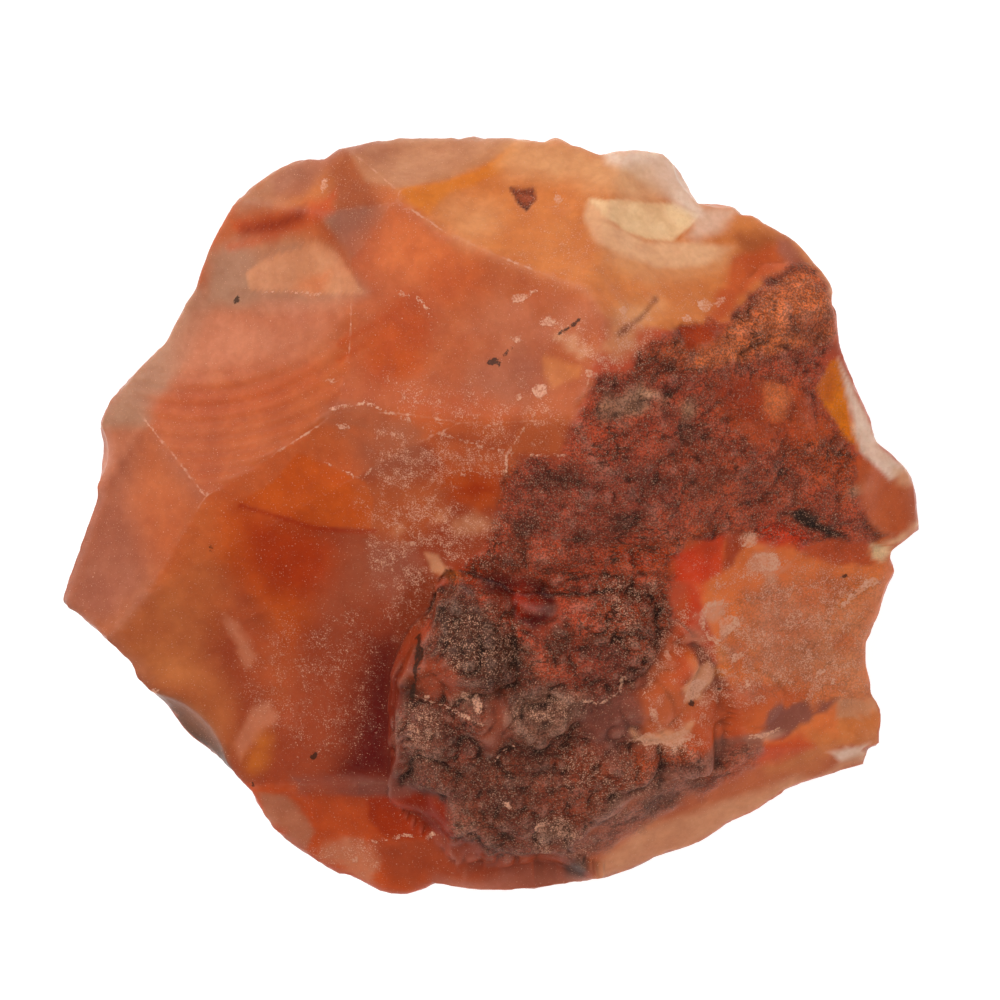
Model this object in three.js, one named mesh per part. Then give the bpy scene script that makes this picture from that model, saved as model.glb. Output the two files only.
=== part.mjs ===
// Rough carnelian: one broken lump of chalcedony, about 57 x 50 x 28 mm, in millimetres with Z up.
// It rests on a small flat under its middle, and the origin is the centre of its base.
//
// The stone is built the way it broke. Flakes have come off a lump, and each left a scar: a shallow
// ball-shaped hollow that passes through three named points of the surface. A straight line drawn
// outward from the core meets every scar somewhere, and the nearest of them is the stone's skin.
// Two adjacent scars meet in a ridge. Dark knobbly rind is left on the east and south.

import * as THREE from 'three';

// ---------------------------------------------------------------- driving dimensions, mm and degrees

const CORE = new THREE.Vector3(0, 0, 8);   // inside the stone: every ray starts here
const CROWN = 26;                          // height of the dome that spreads the rows over the top
const RIM = 13;                            // height of that dome's edge
const DOME_CURVE = 0.65;                   // below 1, the dome is flatter on top and steeper at its edge
const ROW_CROWDING = 0.8;                  // below 1, the top rows crowd towards the rim
const TOP_ROWS = 27;
const UNDER_ROWS = 12;
const WIDEST_STEP = 5;                     // largest angle between two columns, degrees
const NEVER = 1e3;                         // a ray that misses a scar
const TINY = 1e-6;
const PROBE = 0.02;                        // how far aside two rays probe the skin for its direction

// The stone's outline in plan, clockwise from the western tip.
const OUTLINE = [
  [-28.6, -5.8], [-27.3, -2.2], [-26.1, 1.2], [-25.8, 4.6], [-26.1, 5.9], [-25.3, 7.7], [-24, 9.1],
  [-21.6, 11.5], [-19.6, 15], [-18.5, 17.9], [-17.6, 19.8], [-16.7, 21.1], [-14.2, 23], [-12.8, 23.6],
  [-11, 23.7], [-9.7, 24.4], [-7.9, 24.8], [-5.4, 25.1], [-2.1, 25.1], [1.9, 25], [3.6, 24.8],
  [4.4, 25.1], [5.3, 24.7], [7.3, 23.9], [9.6, 24.3], [11.5, 24.1], [12.8, 22.9], [13, 22.1],
  [13.8, 20.7], [15.4, 20.7], [16.4, 20.4], [16.7, 20], [17.6, 20], [18.2, 19.4], [20, 18.5],
  [21, 17.5], [22.6, 15.5], [22.8, 14.9], [22.7, 14.3], [23.3, 10.9], [24.2, 8.5], [25.2, 6.6],
  [25.7, 5], [27.8, 3.1], [28.3, 1.8], [28.6, -0.3], [28.6, -0.9], [26.8, -2.3], [26.7, -2.7],
  [27, -3.7], [26.4, -4.9], [25.1, -8.4], [25, -9.5], [25.5, -12], [26, -12.7], [26.1, -13.7],
  [26, -15.3], [25.2, -15.5], [25, -16.7], [23.6, -16.9], [19.8, -18.2], [17.4, -19.9], [16, -20.4],
  [14.2, -21.7], [11.2, -22.7], [9.3, -23.6], [4.6, -24.6], [2.6, -24.9], [0.4, -24.9], [-3.8, -24.5],
  [-4.2, -24.9], [-5.5, -25.3], [-7.1, -25.1], [-9.4, -23.9], [-10.1, -23.9], [-12, -22.7],
  [-14.5, -20.8], [-15.8, -18.3], [-17.8, -16.2], [-20, -14.6], [-21.5, -12.5], [-23.3, -10.9],
  [-23.8, -9.7], [-25, -8.5], [-27.2, -6.7],
];

// Points of the surface where ridges meet or cross a scar.
const P = {
  westTip: [-28.5, -5.8, 13.6], scallopWest: [-22, 5.1, 15.3], scallopFoot: [-18.3, 0.5, 18.5],
  scallopHead: [-7.9, 14.7, 21.7], flankFoot: [-11.4, 6, 21], shoulderWest: [-19.6, 14.4, 17.2],
  shoulderNorth: [-17.4, 19.4, 16.9], lobeEast: [-9.6, 19.4, 20.4], ridgeEnd: [-9.7, 24.4, 16.6],
  ridgeWest: [-6.8, 21.1, 21.2], ridgeEast: [3.2, 16.2, 25.4], summitNorth: [7.8, 13.2, 27.3],
  summitSouth: [5.3, 4, 27.8], northRim: [1, 25, 17.6], paleRim: [-2.3, 24.4, 17.3],
  creamWest: [7.8, 18, 23.6], creamEast: [17.5, 18.4, 18.2], eastRim: [25.5, 5.1, 16.6],
  ledgeWest: [-6.5, 6.9, 22.5], ledgeLow: [-6.5, 6.9, 23.2], ledgeFoot: [-6, -8.3, 20.2],
  hollowWest: [0.9, 0.2, 25], hollowFoot: [7.4, -6.9, 19.6], amberFoot: [-15.7, -17.9, 14.6],
  windowEast: [-1.9, -18.6, 17], windowRim: [-6.3, -25, 12], pinkWest: [12.2, -2.9, 22.7],
  pinkEast: [25.6, -3.1, 14.8], pinkFoot: [18.4, -15.1, 15.7], greyEast: [18.4, -15.1, 15.9],
  greyWest: [5.2, -22.3, 16], southRim: [14, -21.7, 11.6],
  lumpWest: [-6, -6.4, 20.3], lumpFoot: [3.9, -21.9, 16.3], lumpEast: [12.4, -7.3, 19.8],
  northWallWest: [-6.2, -5.5, 21.2], northWallEast: [12.2, -5.1, 21.6], northWallFoot: [2.7, -2.9, 19],
  westWallNorth: [-6.2, -6.7, 22], westWallSouth: [-6.2, -17.8, 20], westWallFoot: [-6.6, -12.3, 17],
  shoulderNear: [-3.2, -5.2, 21], shoulderFar: [-6.2, -12.2, 21], shoulderFoot: [-5.5, -8.4, 18],
  cornerNorth: [-6.2, -17.8, 19.5], cornerSouth: [-2.2, -21.6, 17.5], cornerFoot: [-4.8, -20.4, 15.5],
  southWallWest: [-2.2, -21.5, 17.5], southWallEast: [5.2, -22.5, 15.5], southWallFoot: [1, -23.1, 13.5],
  bevelWest: [-21.7, -12.4, 13.6], bevelEast: [-17.9, -16.1, 13.6], bevelFoot: [-20.4, -14.8, 11.6],
};

// Each scar passes through three points. The last number is its ball's radius: more than 0 for a
// hollow, less than 0 for a worn swelling, and 0 for a flat break.
const TOP_SCARS = [
  ['westTip', 'scallopWest', 'scallopFoot', 60],          // the thin western tip
  ['scallopFoot', 'scallopWest', 'scallopHead', 48],      // the rippled scallop
  ['shoulderWest', 'scallopHead', 'shoulderNorth', 60],
  ['shoulderNorth', 'lobeEast', 'ridgeEnd', 60],          // the north-west lobe
  ['ridgeWest', 'ridgeEast', 'flankFoot', 120],           // the broad flank
  ['ridgeEnd', 'ridgeWest', 'paleRim', 45],
  ['ridgeWest', 'ridgeEast', 'northRim', 60],             // the orange north face
  ['creamWest', 'summitNorth', 'creamEast', 80],          // the cream north-east face
  ['summitNorth', 'summitSouth', 'eastRim', -120],        // rind, east
  ['summitSouth', 'hollowWest', 'hollowFoot', 60],        // rind, south
  ['ledgeWest', 'summitSouth', 'ledgeFoot', 60],          // below the ledge
  ['scallopFoot', 'amberFoot', 'ledgeLow', 60],           // the amber face
  ['pinkWest', 'pinkEast', 'pinkFoot', 110],              // the pink south-east face
  ['amberFoot', 'windowEast', 'windowRim', 60],           // the red window
];

// The dark lump stands proud of the amber face, with a wall on each side.
const LUMP_FACES = [
  ['lumpWest', 'lumpFoot', 'lumpEast', -30],
  ['northWallWest', 'northWallEast', 'northWallFoot', 0],
  ['shoulderNear', 'shoulderFar', 'shoulderFoot', 0],
  ['westWallNorth', 'westWallSouth', 'westWallFoot', 0],
  ['cornerNorth', 'cornerSouth', 'cornerFoot', 0],
  ['southWallWest', 'southWallEast', 'southWallFoot', 0],
];

// Later breaks along the southern edge cut the lump as well.
const EDGE_SCARS = [
  ['greyWest', 'greyEast', 'southRim', 0],
  ['bevelWest', 'bevelEast', 'bevelFoot', 6],
];

// Underside: direction it faces, distance out and height of its middle, slope, ball radius.
const UNDER_SCARS = [
  [190, 26, 6, 44, 60], [139, 20.6, 6, 50, -90], [88, 18, 6, 56, 90], [62, 20.3, 6, 56, -90],
  [42, 20.6, 6, 50, -90], [-6, 24.6, 6, 52, 60], [-36, 25.8, 6, 42, -120], [-85, 19.3, 6, 42, 70],
  [-138, 21.2, 6, 50, -90],
  [215, 10, 0, 16, -90], [120, 10, 0, 18, 90], [30, 11, 0, 14, -90], [-60, 9, 0, 15, 90],
];

// Knobs of the rind: a point under the knob's top, its radius and how far it stands up.
const KNOBS = [
  [-0.9, -8.3, 20.5, 3, 0.9], [7.6, -7.7, 21.5, 3.6, 1], [3.3, -13, 20, 2.6, 0.8],
  [-0.9, -12.3, 20, 1.2, 0.5], [-4, -14.9, 19.5, 2, 0.5], [1.4, -18.9, 18, 2.4, 0.6],
  [6.7, -16.9, 18, 2.6, 0.6], [10, -12.3, 19, 1.8, 0.5], [20, 14.4, 20, 3, 0.6],
  [14, 9.7, 24, 2.6, 0.5], [10, 5.7, 26, 3.2, 0.5], [22, 6.4, 19, 2.4, 0.5], [16.7, 3.7, 22, 3, 0.45],
  [7.4, 0.4, 25, 2.4, 0.4], [24.7, 2.4, 16.5, 1.8, 0.4], [4.7, -2.9, 23, 2, 0.4],
  [18.2, -12.6, 17, 1.8, 0.5],
];

// Small chips: a point on the skin, the chip's radius and its depth.
const CHIPS = [
  [-10.2, 4.4, 20.8, 2.4, 0.25], [-12.6, 16.5, 20, 2.4, 0.22], [-25.9, 4.1, 13, 1.6, 0.4],
  [4.4, 8.8, 26, 1.6, 0.12], [-13.3, -19.7, 14.2, 1.3, 0.2], [-9.4, -23, 12.6, 1.5, 0.2],
  [-4.8, -9.3, 20.5, 0.9, 0.4], [-7.4, -19.7, 14.9, 2.2, 0.2], [26.4, 1.1, 15, 2.4, 0.4],
  [23.5, 7.7, 18.5, 2.4, 0.35], [10, 20.1, 21, 3, 0.3], [13, 22.7, 17.5, 1.6, 0.4],
  [10, 13.4, 26, 1.4, 0.2], [-16.6, -8.3, 17, 1.3, 0.2], [-16, -14.1, 16, 1.3, 0.2],
  [4.7, 20.7, 21, 1.2, 0.15],
];

// ---------------------------------------------------------------- one ray against one face

// A face is held relative to the core: a flat has a normal and a distance, a ball a centre and radius.
function ballFace(centre, bend) {
  return { centre: centre.clone().sub(CORE), radius: Math.abs(bend), hollow: bend > 0 };
}

function flatFace(normal, point) {
  return { normal, distance: normal.dot(point.clone().sub(CORE)) };
}

function faceThrough([first, second, third, bend]) {
  const [a, b, c] = [first, second, third].map((name) => new THREE.Vector3(...P[name]));
  const plane = new THREE.Plane().setFromCoplanarPoints(a, b, c);
  const normal = plane.normal.clone();
  if (normal.dot(a.clone().sub(CORE)) < 0) normal.negate();
  if (bend === 0) return flatFace(normal, a);
  const ab = b.clone().sub(a);
  const ac = c.clone().sub(a);
  const cross = ab.clone().cross(ac);
  const middle = cross.clone().cross(ab).multiplyScalar(ac.lengthSq())
    .add(ac.clone().cross(cross).multiplyScalar(ab.lengthSq()))
    .divideScalar(2 * cross.lengthSq())
    .add(a);
  const rise = Math.sqrt(bend * bend - middle.distanceToSquared(a));
  return ballFace(middle.addScaledVector(normal, rise * Math.sign(bend)), bend);
}

function faceUnder([azimuth, out, height, slope, bend]) {
  const turn = THREE.MathUtils.degToRad(azimuth);
  const tilt = THREE.MathUtils.degToRad(slope);
  const normal = new THREE.Vector3(
    Math.cos(turn) * Math.sin(tilt), Math.sin(turn) * Math.sin(tilt), -Math.cos(tilt));
  const middle = new THREE.Vector3(out * Math.cos(turn), out * Math.sin(turn), height);
  return ballFace(middle.addScaledVector(normal, bend), bend);
}

// Distance along the ray to the face.
function reach(ray, face) {
  if (face.normal) {
    const facing = ray.dot(face.normal);
    return facing > TINY ? face.distance / facing : NEVER;
  }
  const along = ray.dot(face.centre);
  const inside = along * along - face.centre.lengthSq() + face.radius * face.radius;
  if (!face.hollow) return along + Math.sqrt(Math.max(inside, 0));
  return inside > 0 && along > 0 ? along - Math.sqrt(inside) : NEVER;
}

const nearest = (ray, faces) => Math.min(...faces.map((face) => reach(ray, face)));

// ---------------------------------------------------------------- the outline

const corners = OUTLINE
  .map(([x, y]) => ({ angle: Math.atan2(y, x), radius: Math.hypot(x, y) }))
  .sort((a, b) => a.angle - b.angle);

// Distance from the axis to the outline at an angle. Along a straight edge, one over the radius
// changes almost evenly with the angle.
function outlineRadius(angle) {
  let next = corners.findIndex((corner) => corner.angle > angle);
  if (next < 0) next = 0;
  const after = corners[next];
  const before = corners[(next + corners.length - 1) % corners.length];
  const span = THREE.MathUtils.euclideanModulo(after.angle - before.angle, 2 * Math.PI);
  const part = THREE.MathUtils.euclideanModulo(angle - before.angle, 2 * Math.PI) / span;
  return 1 / ((1 - part) / before.radius + part / after.radius);
}

function reachOutline(ray) {
  const level = Math.hypot(ray.x, ray.y);
  return level > TINY ? outlineRadius(Math.atan2(ray.y, ray.x)) / level : NEVER;
}

// ---------------------------------------------------------------- the stone's skin along one ray

const topFaces = TOP_SCARS.map(faceThrough);
const lumpFaces = LUMP_FACES.map(faceThrough);
const edgeFaces = EDGE_SCARS.map(faceThrough);
const underFaces = UNDER_SCARS.map(faceUnder);
underFaces.push(flatFace(new THREE.Vector3(0, 0, -1), new THREE.Vector3(0, 0, 0)));

const rayTo = (x, y, z) => new THREE.Vector3(x, y, z).sub(CORE).normalize();

function brokenTop(ray) {
  const body = Math.max(nearest(ray, topFaces), nearest(ray, lumpFaces));
  return Math.min(body, nearest(ray, edgeFaces));
}

const knobs = KNOBS.map(([x, y, z, radius, height]) => ({ axis: rayTo(x, y, z), radius, height }));

// A chip is a small hollow pressed into the skin squarely, so it needs the skin's own direction.
function chipFace([x, y, z, radius, depth]) {
  const axis = rayTo(x, y, z);
  const side = new THREE.Vector3().crossVectors(axis, new THREE.Vector3(0, 1, 0.2)).normalize();
  const up = new THREE.Vector3().crossVectors(axis, side);
  const probes = [axis, axis.clone().addScaledVector(side, PROBE), axis.clone().addScaledVector(up, PROBE)];
  const [p, q, r] = probes
    .map((probe) => probe.clone().normalize())
    .map((ray) => ray.clone().multiplyScalar(Math.min(brokenTop(ray), reachOutline(ray))));
  const normal = q.sub(p).cross(r.sub(p)).normalize();
  if (normal.dot(axis) < 0) normal.negate();
  const ball = (radius * radius) / (2 * depth);
  return ballFace(p.addScaledVector(normal, ball - depth).add(CORE), ball);
}

const chipFaces = CHIPS.map(chipFace);

function knobRise(ray, distance) {
  let rise = 0;
  for (const { axis, radius, height } of knobs) {
    const cosine = ray.dot(axis);
    const off = (Math.sqrt(Math.max(0, 1 - cosine * cosine)) * distance) / radius;
    if (cosine > 0 && off < 1) rise += height * (1 - off * off) ** 2;
  }
  return rise;
}

function skin(ray) {
  const top = brokenTop(ray);
  const worn = Math.min(top + knobRise(ray, top), nearest(ray, chipFaces));
  const distance = Math.min(worn, nearest(ray, underFaces), reachOutline(ray));
  const point = ray.clone().multiplyScalar(distance).add(CORE);
  if (Math.abs(point.z) < TINY) point.z = 0;
  return point;
}

// ---------------------------------------------------------------- the mesh

// A column runs down through every corner of the outline, with more between corners far apart.
function columnAngles() {
  const widest = THREE.MathUtils.degToRad(WIDEST_STEP);
  return corners.flatMap(({ angle }, i) => {
    const next = corners[(i + 1) % corners.length].angle;
    const span = THREE.MathUtils.euclideanModulo(next - angle, 2 * Math.PI);
    const parts = Math.ceil(span / widest);
    return Array.from({ length: parts }, (_, k) => angle + (span * k) / parts);
  });
}

// Rows spread evenly over a dome above the rim, and over a bowl below it.
function gridRay(angle, row) {
  const wide = outlineRadius(angle > Math.PI ? angle - 2 * Math.PI : angle);
  let out;
  let height;
  if (row <= TOP_ROWS) {
    out = (row / TOP_ROWS) ** ROW_CROWDING;
    height = RIM + (CROWN - RIM) * (1 - out * out) ** DOME_CURVE;
  } else {
    const turn = ((row - TOP_ROWS) / UNDER_ROWS) * (Math.PI / 2);
    out = Math.cos(turn);
    height = RIM * (1 - Math.sin(turn));
  }
  return rayTo(out * wide * Math.cos(angle), out * wide * Math.sin(angle), height);
}

function stoneGeometry() {
  const angles = columnAngles();
  const lastRow = TOP_ROWS + UNDER_ROWS - 1;
  const points = [skin(new THREE.Vector3(0, 0, 1))];
  for (let row = 1; row <= lastRow; row += 1) {
    for (const angle of angles) points.push(skin(gridRay(angle, row)));
  }
  points.push(skin(new THREE.Vector3(0, 0, -1)));

  const count = angles.length;
  const at = (row, column) => 1 + (row - 1) * count + (column % count);
  const bottom = points.length - 1;
  const triangles = [];
  for (let c = 0; c < count; c += 1) {
    triangles.push(0, at(1, c), at(1, c + 1));
    for (let row = 1; row < lastRow; row += 1) {
      triangles.push(at(row, c), at(row + 1, c), at(row + 1, c + 1));
      triangles.push(at(row, c), at(row + 1, c + 1), at(row, c + 1));
    }
    triangles.push(at(lastRow, c), bottom, at(lastRow, c + 1));
  }
  const geometry = new THREE.BufferGeometry().setFromPoints(points);
  geometry.setIndex(triangles);
  geometry.computeVertexNormals();
  return geometry;
}

const carnelian = new THREE.Mesh(
  stoneGeometry(),
  new THREE.MeshStandardMaterial({ color: 0xb4522a, roughness: 0.45, metalness: 0 }),
);
carnelian.name = 'carnelian';

const part = new THREE.Group();
part.name = 'rough_carnelian';
part.add(carnelian);

export default part;
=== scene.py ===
"""Rough carnelian: the finished look of one broken lump of chalcedony, about 57 x 50 x 28 mm.

The stone is worked out in millimetres, in the frame of the solid that it stands for, and goes into its
mesh in metres. It is built the way it broke. Flakes have come off a lump, and each left a scar: part of
a ball, or a flat, through three named points. The nearest scar along a ray from the core is the stone's
skin. Knobs, chips, ripples, pits and worn ridges are added to that distance, and the colours are laid
over it as named areas, spots and lines in plan.
"""

import bpy
import numpy as np

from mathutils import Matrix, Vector


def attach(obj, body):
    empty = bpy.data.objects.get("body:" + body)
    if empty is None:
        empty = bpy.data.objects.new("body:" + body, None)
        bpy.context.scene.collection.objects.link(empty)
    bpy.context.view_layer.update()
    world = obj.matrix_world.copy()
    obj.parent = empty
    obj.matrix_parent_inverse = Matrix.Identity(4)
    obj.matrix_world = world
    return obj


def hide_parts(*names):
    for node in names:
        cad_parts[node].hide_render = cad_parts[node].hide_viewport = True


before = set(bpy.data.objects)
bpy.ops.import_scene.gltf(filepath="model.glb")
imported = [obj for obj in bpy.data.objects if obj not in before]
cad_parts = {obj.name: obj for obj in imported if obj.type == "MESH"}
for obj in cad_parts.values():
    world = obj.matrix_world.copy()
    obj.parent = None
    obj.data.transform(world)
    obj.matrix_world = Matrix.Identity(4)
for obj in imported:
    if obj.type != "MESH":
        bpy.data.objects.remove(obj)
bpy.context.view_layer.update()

bl_info = {
    "name": "Rough carnelian",
    "version": (1, 0, 0),
    "blender": (4, 5, 0),
    "location": "3D View > Sidebar > Carnelian",
    "description": "Builds a flaked lump of rough carnelian, and a pale stage for it",
    "category": "Add Mesh",
}

NODE = "carnelian"
MM = 0.001                    # the mesh is in metres, and the stone's lengths below are in millimetres
CELLS = 280                   # cells along each side of the upper sheet; the lower has half as many
LOWER_REACH = 0.97            # share of the way to the rim that the lower sheet goes
CORE = np.array([0.0, 0.0, 8.0])
CROWN = 26.0                  # height of the dome that spreads the upper sheet
RIM = 13.0                    # height of that dome's edge
DOME_CURVE = 0.65
BOWL_CURVE = 0.8
KNOB_CURVE = 0.9              # below 1 a knob is steep at its foot
NEVER = 1e3                   # a ray that misses a scar
SHEEN = 0.006                 # light that the waxy surface sends back before any colour

# -------------------- the form

# The outline in plan, clockwise from the western tip.
OUTLINE = [
    (-28.6, -5.8), (-27.3, -2.2), (-26.1, 1.2), (-25.8, 4.6), (-26.1, 5.9), (-25.3, 7.7), (-24, 9.1),
    (-21.6, 11.5), (-19.6, 15), (-18.5, 17.9), (-17.6, 19.8), (-16.7, 21.1), (-14.2, 23), (-12.8, 23.6),
    (-11, 23.7), (-9.7, 24.4), (-7.9, 24.8), (-5.4, 25.1), (-2.1, 25.1), (1.9, 25), (3.6, 24.8),
    (4.4, 25.1), (5.3, 24.7), (7.3, 23.9), (9.6, 24.3), (11.5, 24.1), (12.8, 22.9), (13, 22.1),
    (13.8, 20.7), (15.4, 20.7), (16.4, 20.4), (16.7, 20), (17.6, 20), (18.2, 19.4), (20, 18.5),
    (21, 17.5), (22.6, 15.5), (22.8, 14.9), (22.7, 14.3), (23.3, 10.9), (24.2, 8.5), (25.2, 6.6),
    (25.7, 5), (27.8, 3.1), (28.3, 1.8), (28.6, -0.3), (28.6, -0.9), (26.8, -2.3), (26.7, -2.7),
    (27, -3.7), (26.4, -4.9), (25.1, -8.4), (25, -9.5), (25.5, -12), (26, -12.7), (26.1, -13.7),
    (26, -15.3), (25.2, -15.5), (25, -16.7), (23.6, -16.9), (19.8, -18.2), (17.4, -19.9), (16, -20.4),
    (14.2, -21.7), (11.2, -22.7), (9.3, -23.6), (4.6, -24.6), (2.6, -24.9), (0.4, -24.9), (-3.8, -24.5),
    (-4.2, -24.9), (-5.5, -25.3), (-7.1, -25.1), (-9.4, -23.9), (-10.1, -23.9), (-12, -22.7),
    (-14.5, -20.8), (-15.8, -18.3), (-17.8, -16.2), (-20, -14.6), (-21.5, -12.5), (-23.3, -10.9),
    (-23.8, -9.7), (-25, -8.5), (-27.2, -6.7),
]

# Points of the skin where ridges meet or cross a scar.
POINTS = {
    "west_tip": (-28.5, -5.8, 13.6), "scallop_west": (-22, 5.1, 15.3),
    "scallop_foot": (-18.3, 0.5, 18.5), "scallop_head": (-7.9, 14.7, 21.7),
    "flank_foot": (-11.4, 6, 21), "shoulder_west": (-19.6, 14.4, 17.2),
    "shoulder_north": (-17.4, 19.4, 16.9), "lobe_east": (-9.6, 19.4, 20.4),
    "ridge_end": (-9.7, 24.4, 16.6), "ridge_west": (-6.8, 21.1, 21.2), "ridge_east": (3.2, 16.2, 25.4),
    "summit_north": (7.8, 13.2, 27.3), "summit_south": (5.3, 4, 27.8), "north_rim": (1, 25, 17.6),
    "pale_rim": (-2.3, 24.4, 17.3), "cream_west": (7.8, 18, 23.6), "cream_east": (17.5, 18.4, 18.2),
    "east_rim": (25.5, 5.1, 16.6), "ledge_west": (-6.5, 6.9, 22.5), "ledge_low": (-6.5, 6.9, 23.2),
    "ledge_foot": (-6, -8.3, 20.2), "hollow_west": (0.9, 0.2, 25), "hollow_foot": (7.4, -6.9, 19.6),
    "amber_foot": (-15.7, -17.9, 14.6), "window_east": (-1.9, -18.6, 17), "window_rim": (-6.3, -25, 12),
    "pink_west": (12.2, -2.9, 22.7), "pink_east": (25.6, -3.1, 14.8), "pink_foot": (18.4, -15.1, 15.7),
    "grey_east": (18.4, -15.1, 15.9), "grey_west": (5.2, -22.3, 16), "south_rim": (14, -21.7, 11.6),
    "lump_west": (-6, -6.4, 20.3), "lump_foot": (3.9, -21.9, 16.3), "lump_east": (12.4, -7.3, 19.8),
    "north_wall_west": (-6.2, -5.5, 21.2), "north_wall_east": (12.2, -5.1, 21.6),
    "north_wall_foot": (2.7, -2.9, 19), "west_wall_north": (-6.2, -6.7, 22),
    "west_wall_south": (-6.2, -17.8, 20), "west_wall_foot": (-6.6, -12.3, 17),
    "shoulder_near": (-3.2, -5.2, 21), "shoulder_far": (-6.2, -12.2, 21),
    "shoulder_foot": (-5.5, -8.4, 18), "corner_north": (-6.2, -17.8, 19.5),
    "corner_south": (-2.2, -21.6, 17.5), "corner_foot": (-4.8, -20.4, 15.5),
    "south_wall_west": (-2.2, -21.5, 17.5), "south_wall_east": (5.2, -22.5, 15.5),
    "south_wall_foot": (1, -23.1, 13.5), "bevel_west": (-21.7, -12.4, 13.6),
    "bevel_east": (-17.9, -16.1, 13.6), "bevel_foot": (-20.4, -14.8, 11.6),
}

# Three points that each scar passes through, and its ball's radius: more than 0 for a hollow, less for
# a worn swelling, 0 for a flat break.
TOP_SCARS = [
    ("west_tip", "scallop_west", "scallop_foot", 60),  # the thin western tip
    ("scallop_foot", "scallop_west", "scallop_head", 48),  # the rippled scallop
    ("shoulder_west", "scallop_head", "shoulder_north", 60),
    ("shoulder_north", "lobe_east", "ridge_end", 60),  # the north-west lobe
    ("ridge_west", "ridge_east", "flank_foot", 120),  # the broad flank
    ("ridge_end", "ridge_west", "pale_rim", 45),
    ("ridge_west", "ridge_east", "north_rim", 60),  # the orange north face
    ("cream_west", "summit_north", "cream_east", 80),  # the cream north-east face
    ("summit_north", "summit_south", "east_rim", -120),  # rind, east
    ("summit_south", "hollow_west", "hollow_foot", 60),  # rind, south
    ("ledge_west", "summit_south", "ledge_foot", 60),  # below the ledge
    ("scallop_foot", "amber_foot", "ledge_low", 60),  # the amber face
    ("pink_west", "pink_east", "pink_foot", 110),  # the pink south-east face
    ("amber_foot", "window_east", "window_rim", 60),  # the red window
]

# The dark lump stands proud of the amber face, with a wall on each side.
LUMP_FACES = [
    ("lump_west", "lump_foot", "lump_east", -30),
    ("north_wall_west", "north_wall_east", "north_wall_foot", 0),
    ("shoulder_near", "shoulder_far", "shoulder_foot", 0),
    ("west_wall_north", "west_wall_south", "west_wall_foot", 0),
    ("corner_north", "corner_south", "corner_foot", 0),
    ("south_wall_west", "south_wall_east", "south_wall_foot", 0),
]

# Later breaks along the southern edge cut the lump as well.
EDGE_SCARS = [
    ("grey_west", "grey_east", "south_rim", 0),
    ("bevel_west", "bevel_east", "bevel_foot", 6),
]

# Underside: direction it faces, distance out and height of its middle, slope, ball radius.
UNDER_SCARS = [
    (190, 26, 6, 44, 60), (139, 20.6, 6, 50, -90), (88, 18, 6, 56, 90), (62, 20.3, 6, 56, -90),
    (42, 20.6, 6, 50, -90), (-6, 24.6, 6, 52, 60), (-36, 25.8, 6, 42, -120), (-85, 19.3, 6, 42, 70),
    (-138, 21.2, 6, 50, -90), (215, 10, 0, 16, -90), (120, 10, 0, 18, 90), (30, 11, 0, 14, -90),
    (-60, 9, 0, 15, 90),
]

# Knobs of the rind: a point under the knob's top, its radius and how far it stands up.
KNOBS = [
    (-0.9, -8.3, 20.5, 3, 0.9), (7.6, -7.7, 21.5, 3.6, 1), (3.3, -13, 20, 2.6, 0.8),
    (-0.9, -12.3, 20, 1.2, 0.5), (-4, -14.9, 19.5, 2, 0.5), (1.4, -18.9, 18, 2.4, 0.6),
    (6.7, -16.9, 18, 2.6, 0.6), (10, -12.3, 19, 1.8, 0.5), (20, 14.4, 20, 3, 0.6),
    (14, 9.7, 24, 2.6, 0.5), (10, 5.7, 26, 3.2, 0.5), (22, 6.4, 19, 2.4, 0.5), (16.7, 3.7, 22, 3, 0.45),
    (7.4, 0.4, 25, 2.4, 0.4), (24.7, 2.4, 16.5, 1.8, 0.4), (4.7, -2.9, 23, 2, 0.4),
    (18.2, -12.6, 17, 1.8, 0.5),
]

# Chips: a point on the skin, the chip's radius and its depth.
CHIPS = [
    (-10.2, 4.4, 20.8, 2.4, 0.25), (-12.6, 16.5, 20, 2.4, 0.22), (-25.9, 4.1, 13, 1.6, 0.4),
    (4.4, 8.8, 26, 1.6, 0.12), (-13.3, -19.7, 14.2, 1.3, 0.2), (-9.4, -23, 12.6, 1.5, 0.2),
    (-4.8, -9.3, 20.5, 0.9, 0.4), (-7.4, -19.7, 14.9, 2.2, 0.2), (26.4, 1.1, 15, 2.4, 0.4),
    (23.5, 7.7, 18.5, 2.4, 0.35), (10, 20.1, 21, 3, 0.3), (13, 22.7, 17.5, 1.6, 0.4),
    (10, 13.4, 26, 1.4, 0.2), (-16.6, -8.3, 17, 1.3, 0.2), (-16, -14.1, 16, 1.3, 0.2),
    (4.7, 20.7, 21, 1.2, 0.15),
]

# Finer chips along ridges and rims, in the same way.
SMALL_CHIPS = [
    (-11.6, 16.7, 20.4, 2.6, 0.14), (8.6, 15.2, 25, 1.3, 0.14), (12.8, 12.6, 25, 1.5, 0.16),
    (-3.2, 19.6, 22.6, 0.9, 0.12), (1.8, 14.5, 25.2, 0.8, 0.08), (3.7, 12.9, 26, 1, 0.1),
    (17.3, -1.5, 21, 0.9, 0.2), (18.2, -3.1, 20.4, 1.3, 0.2), (15.6, -6.7, 20, 1.2, 0.2),
    (13.9, -11.8, 18.6, 1.3, 0.2), (16, -7.8, 19.5, 1, 0.15), (25.6, -1.8, 15, 1, 0.3),
    (24.9, -13.3, 13, 1.6, 0.3), (-17.4, -6.7, 17.4, 0.9, 0.12), (-3.8, -3.7, 21, 0.8, 0.15),
    (3.4, -12.2, 20, 1.1, 0.25), (1.6, -16, 19, 1, 0.25), (9.6, -14, 19, 1, 0.25),
    (-9, -22.4, 13.5, 0.8, 0.12),
]

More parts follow.
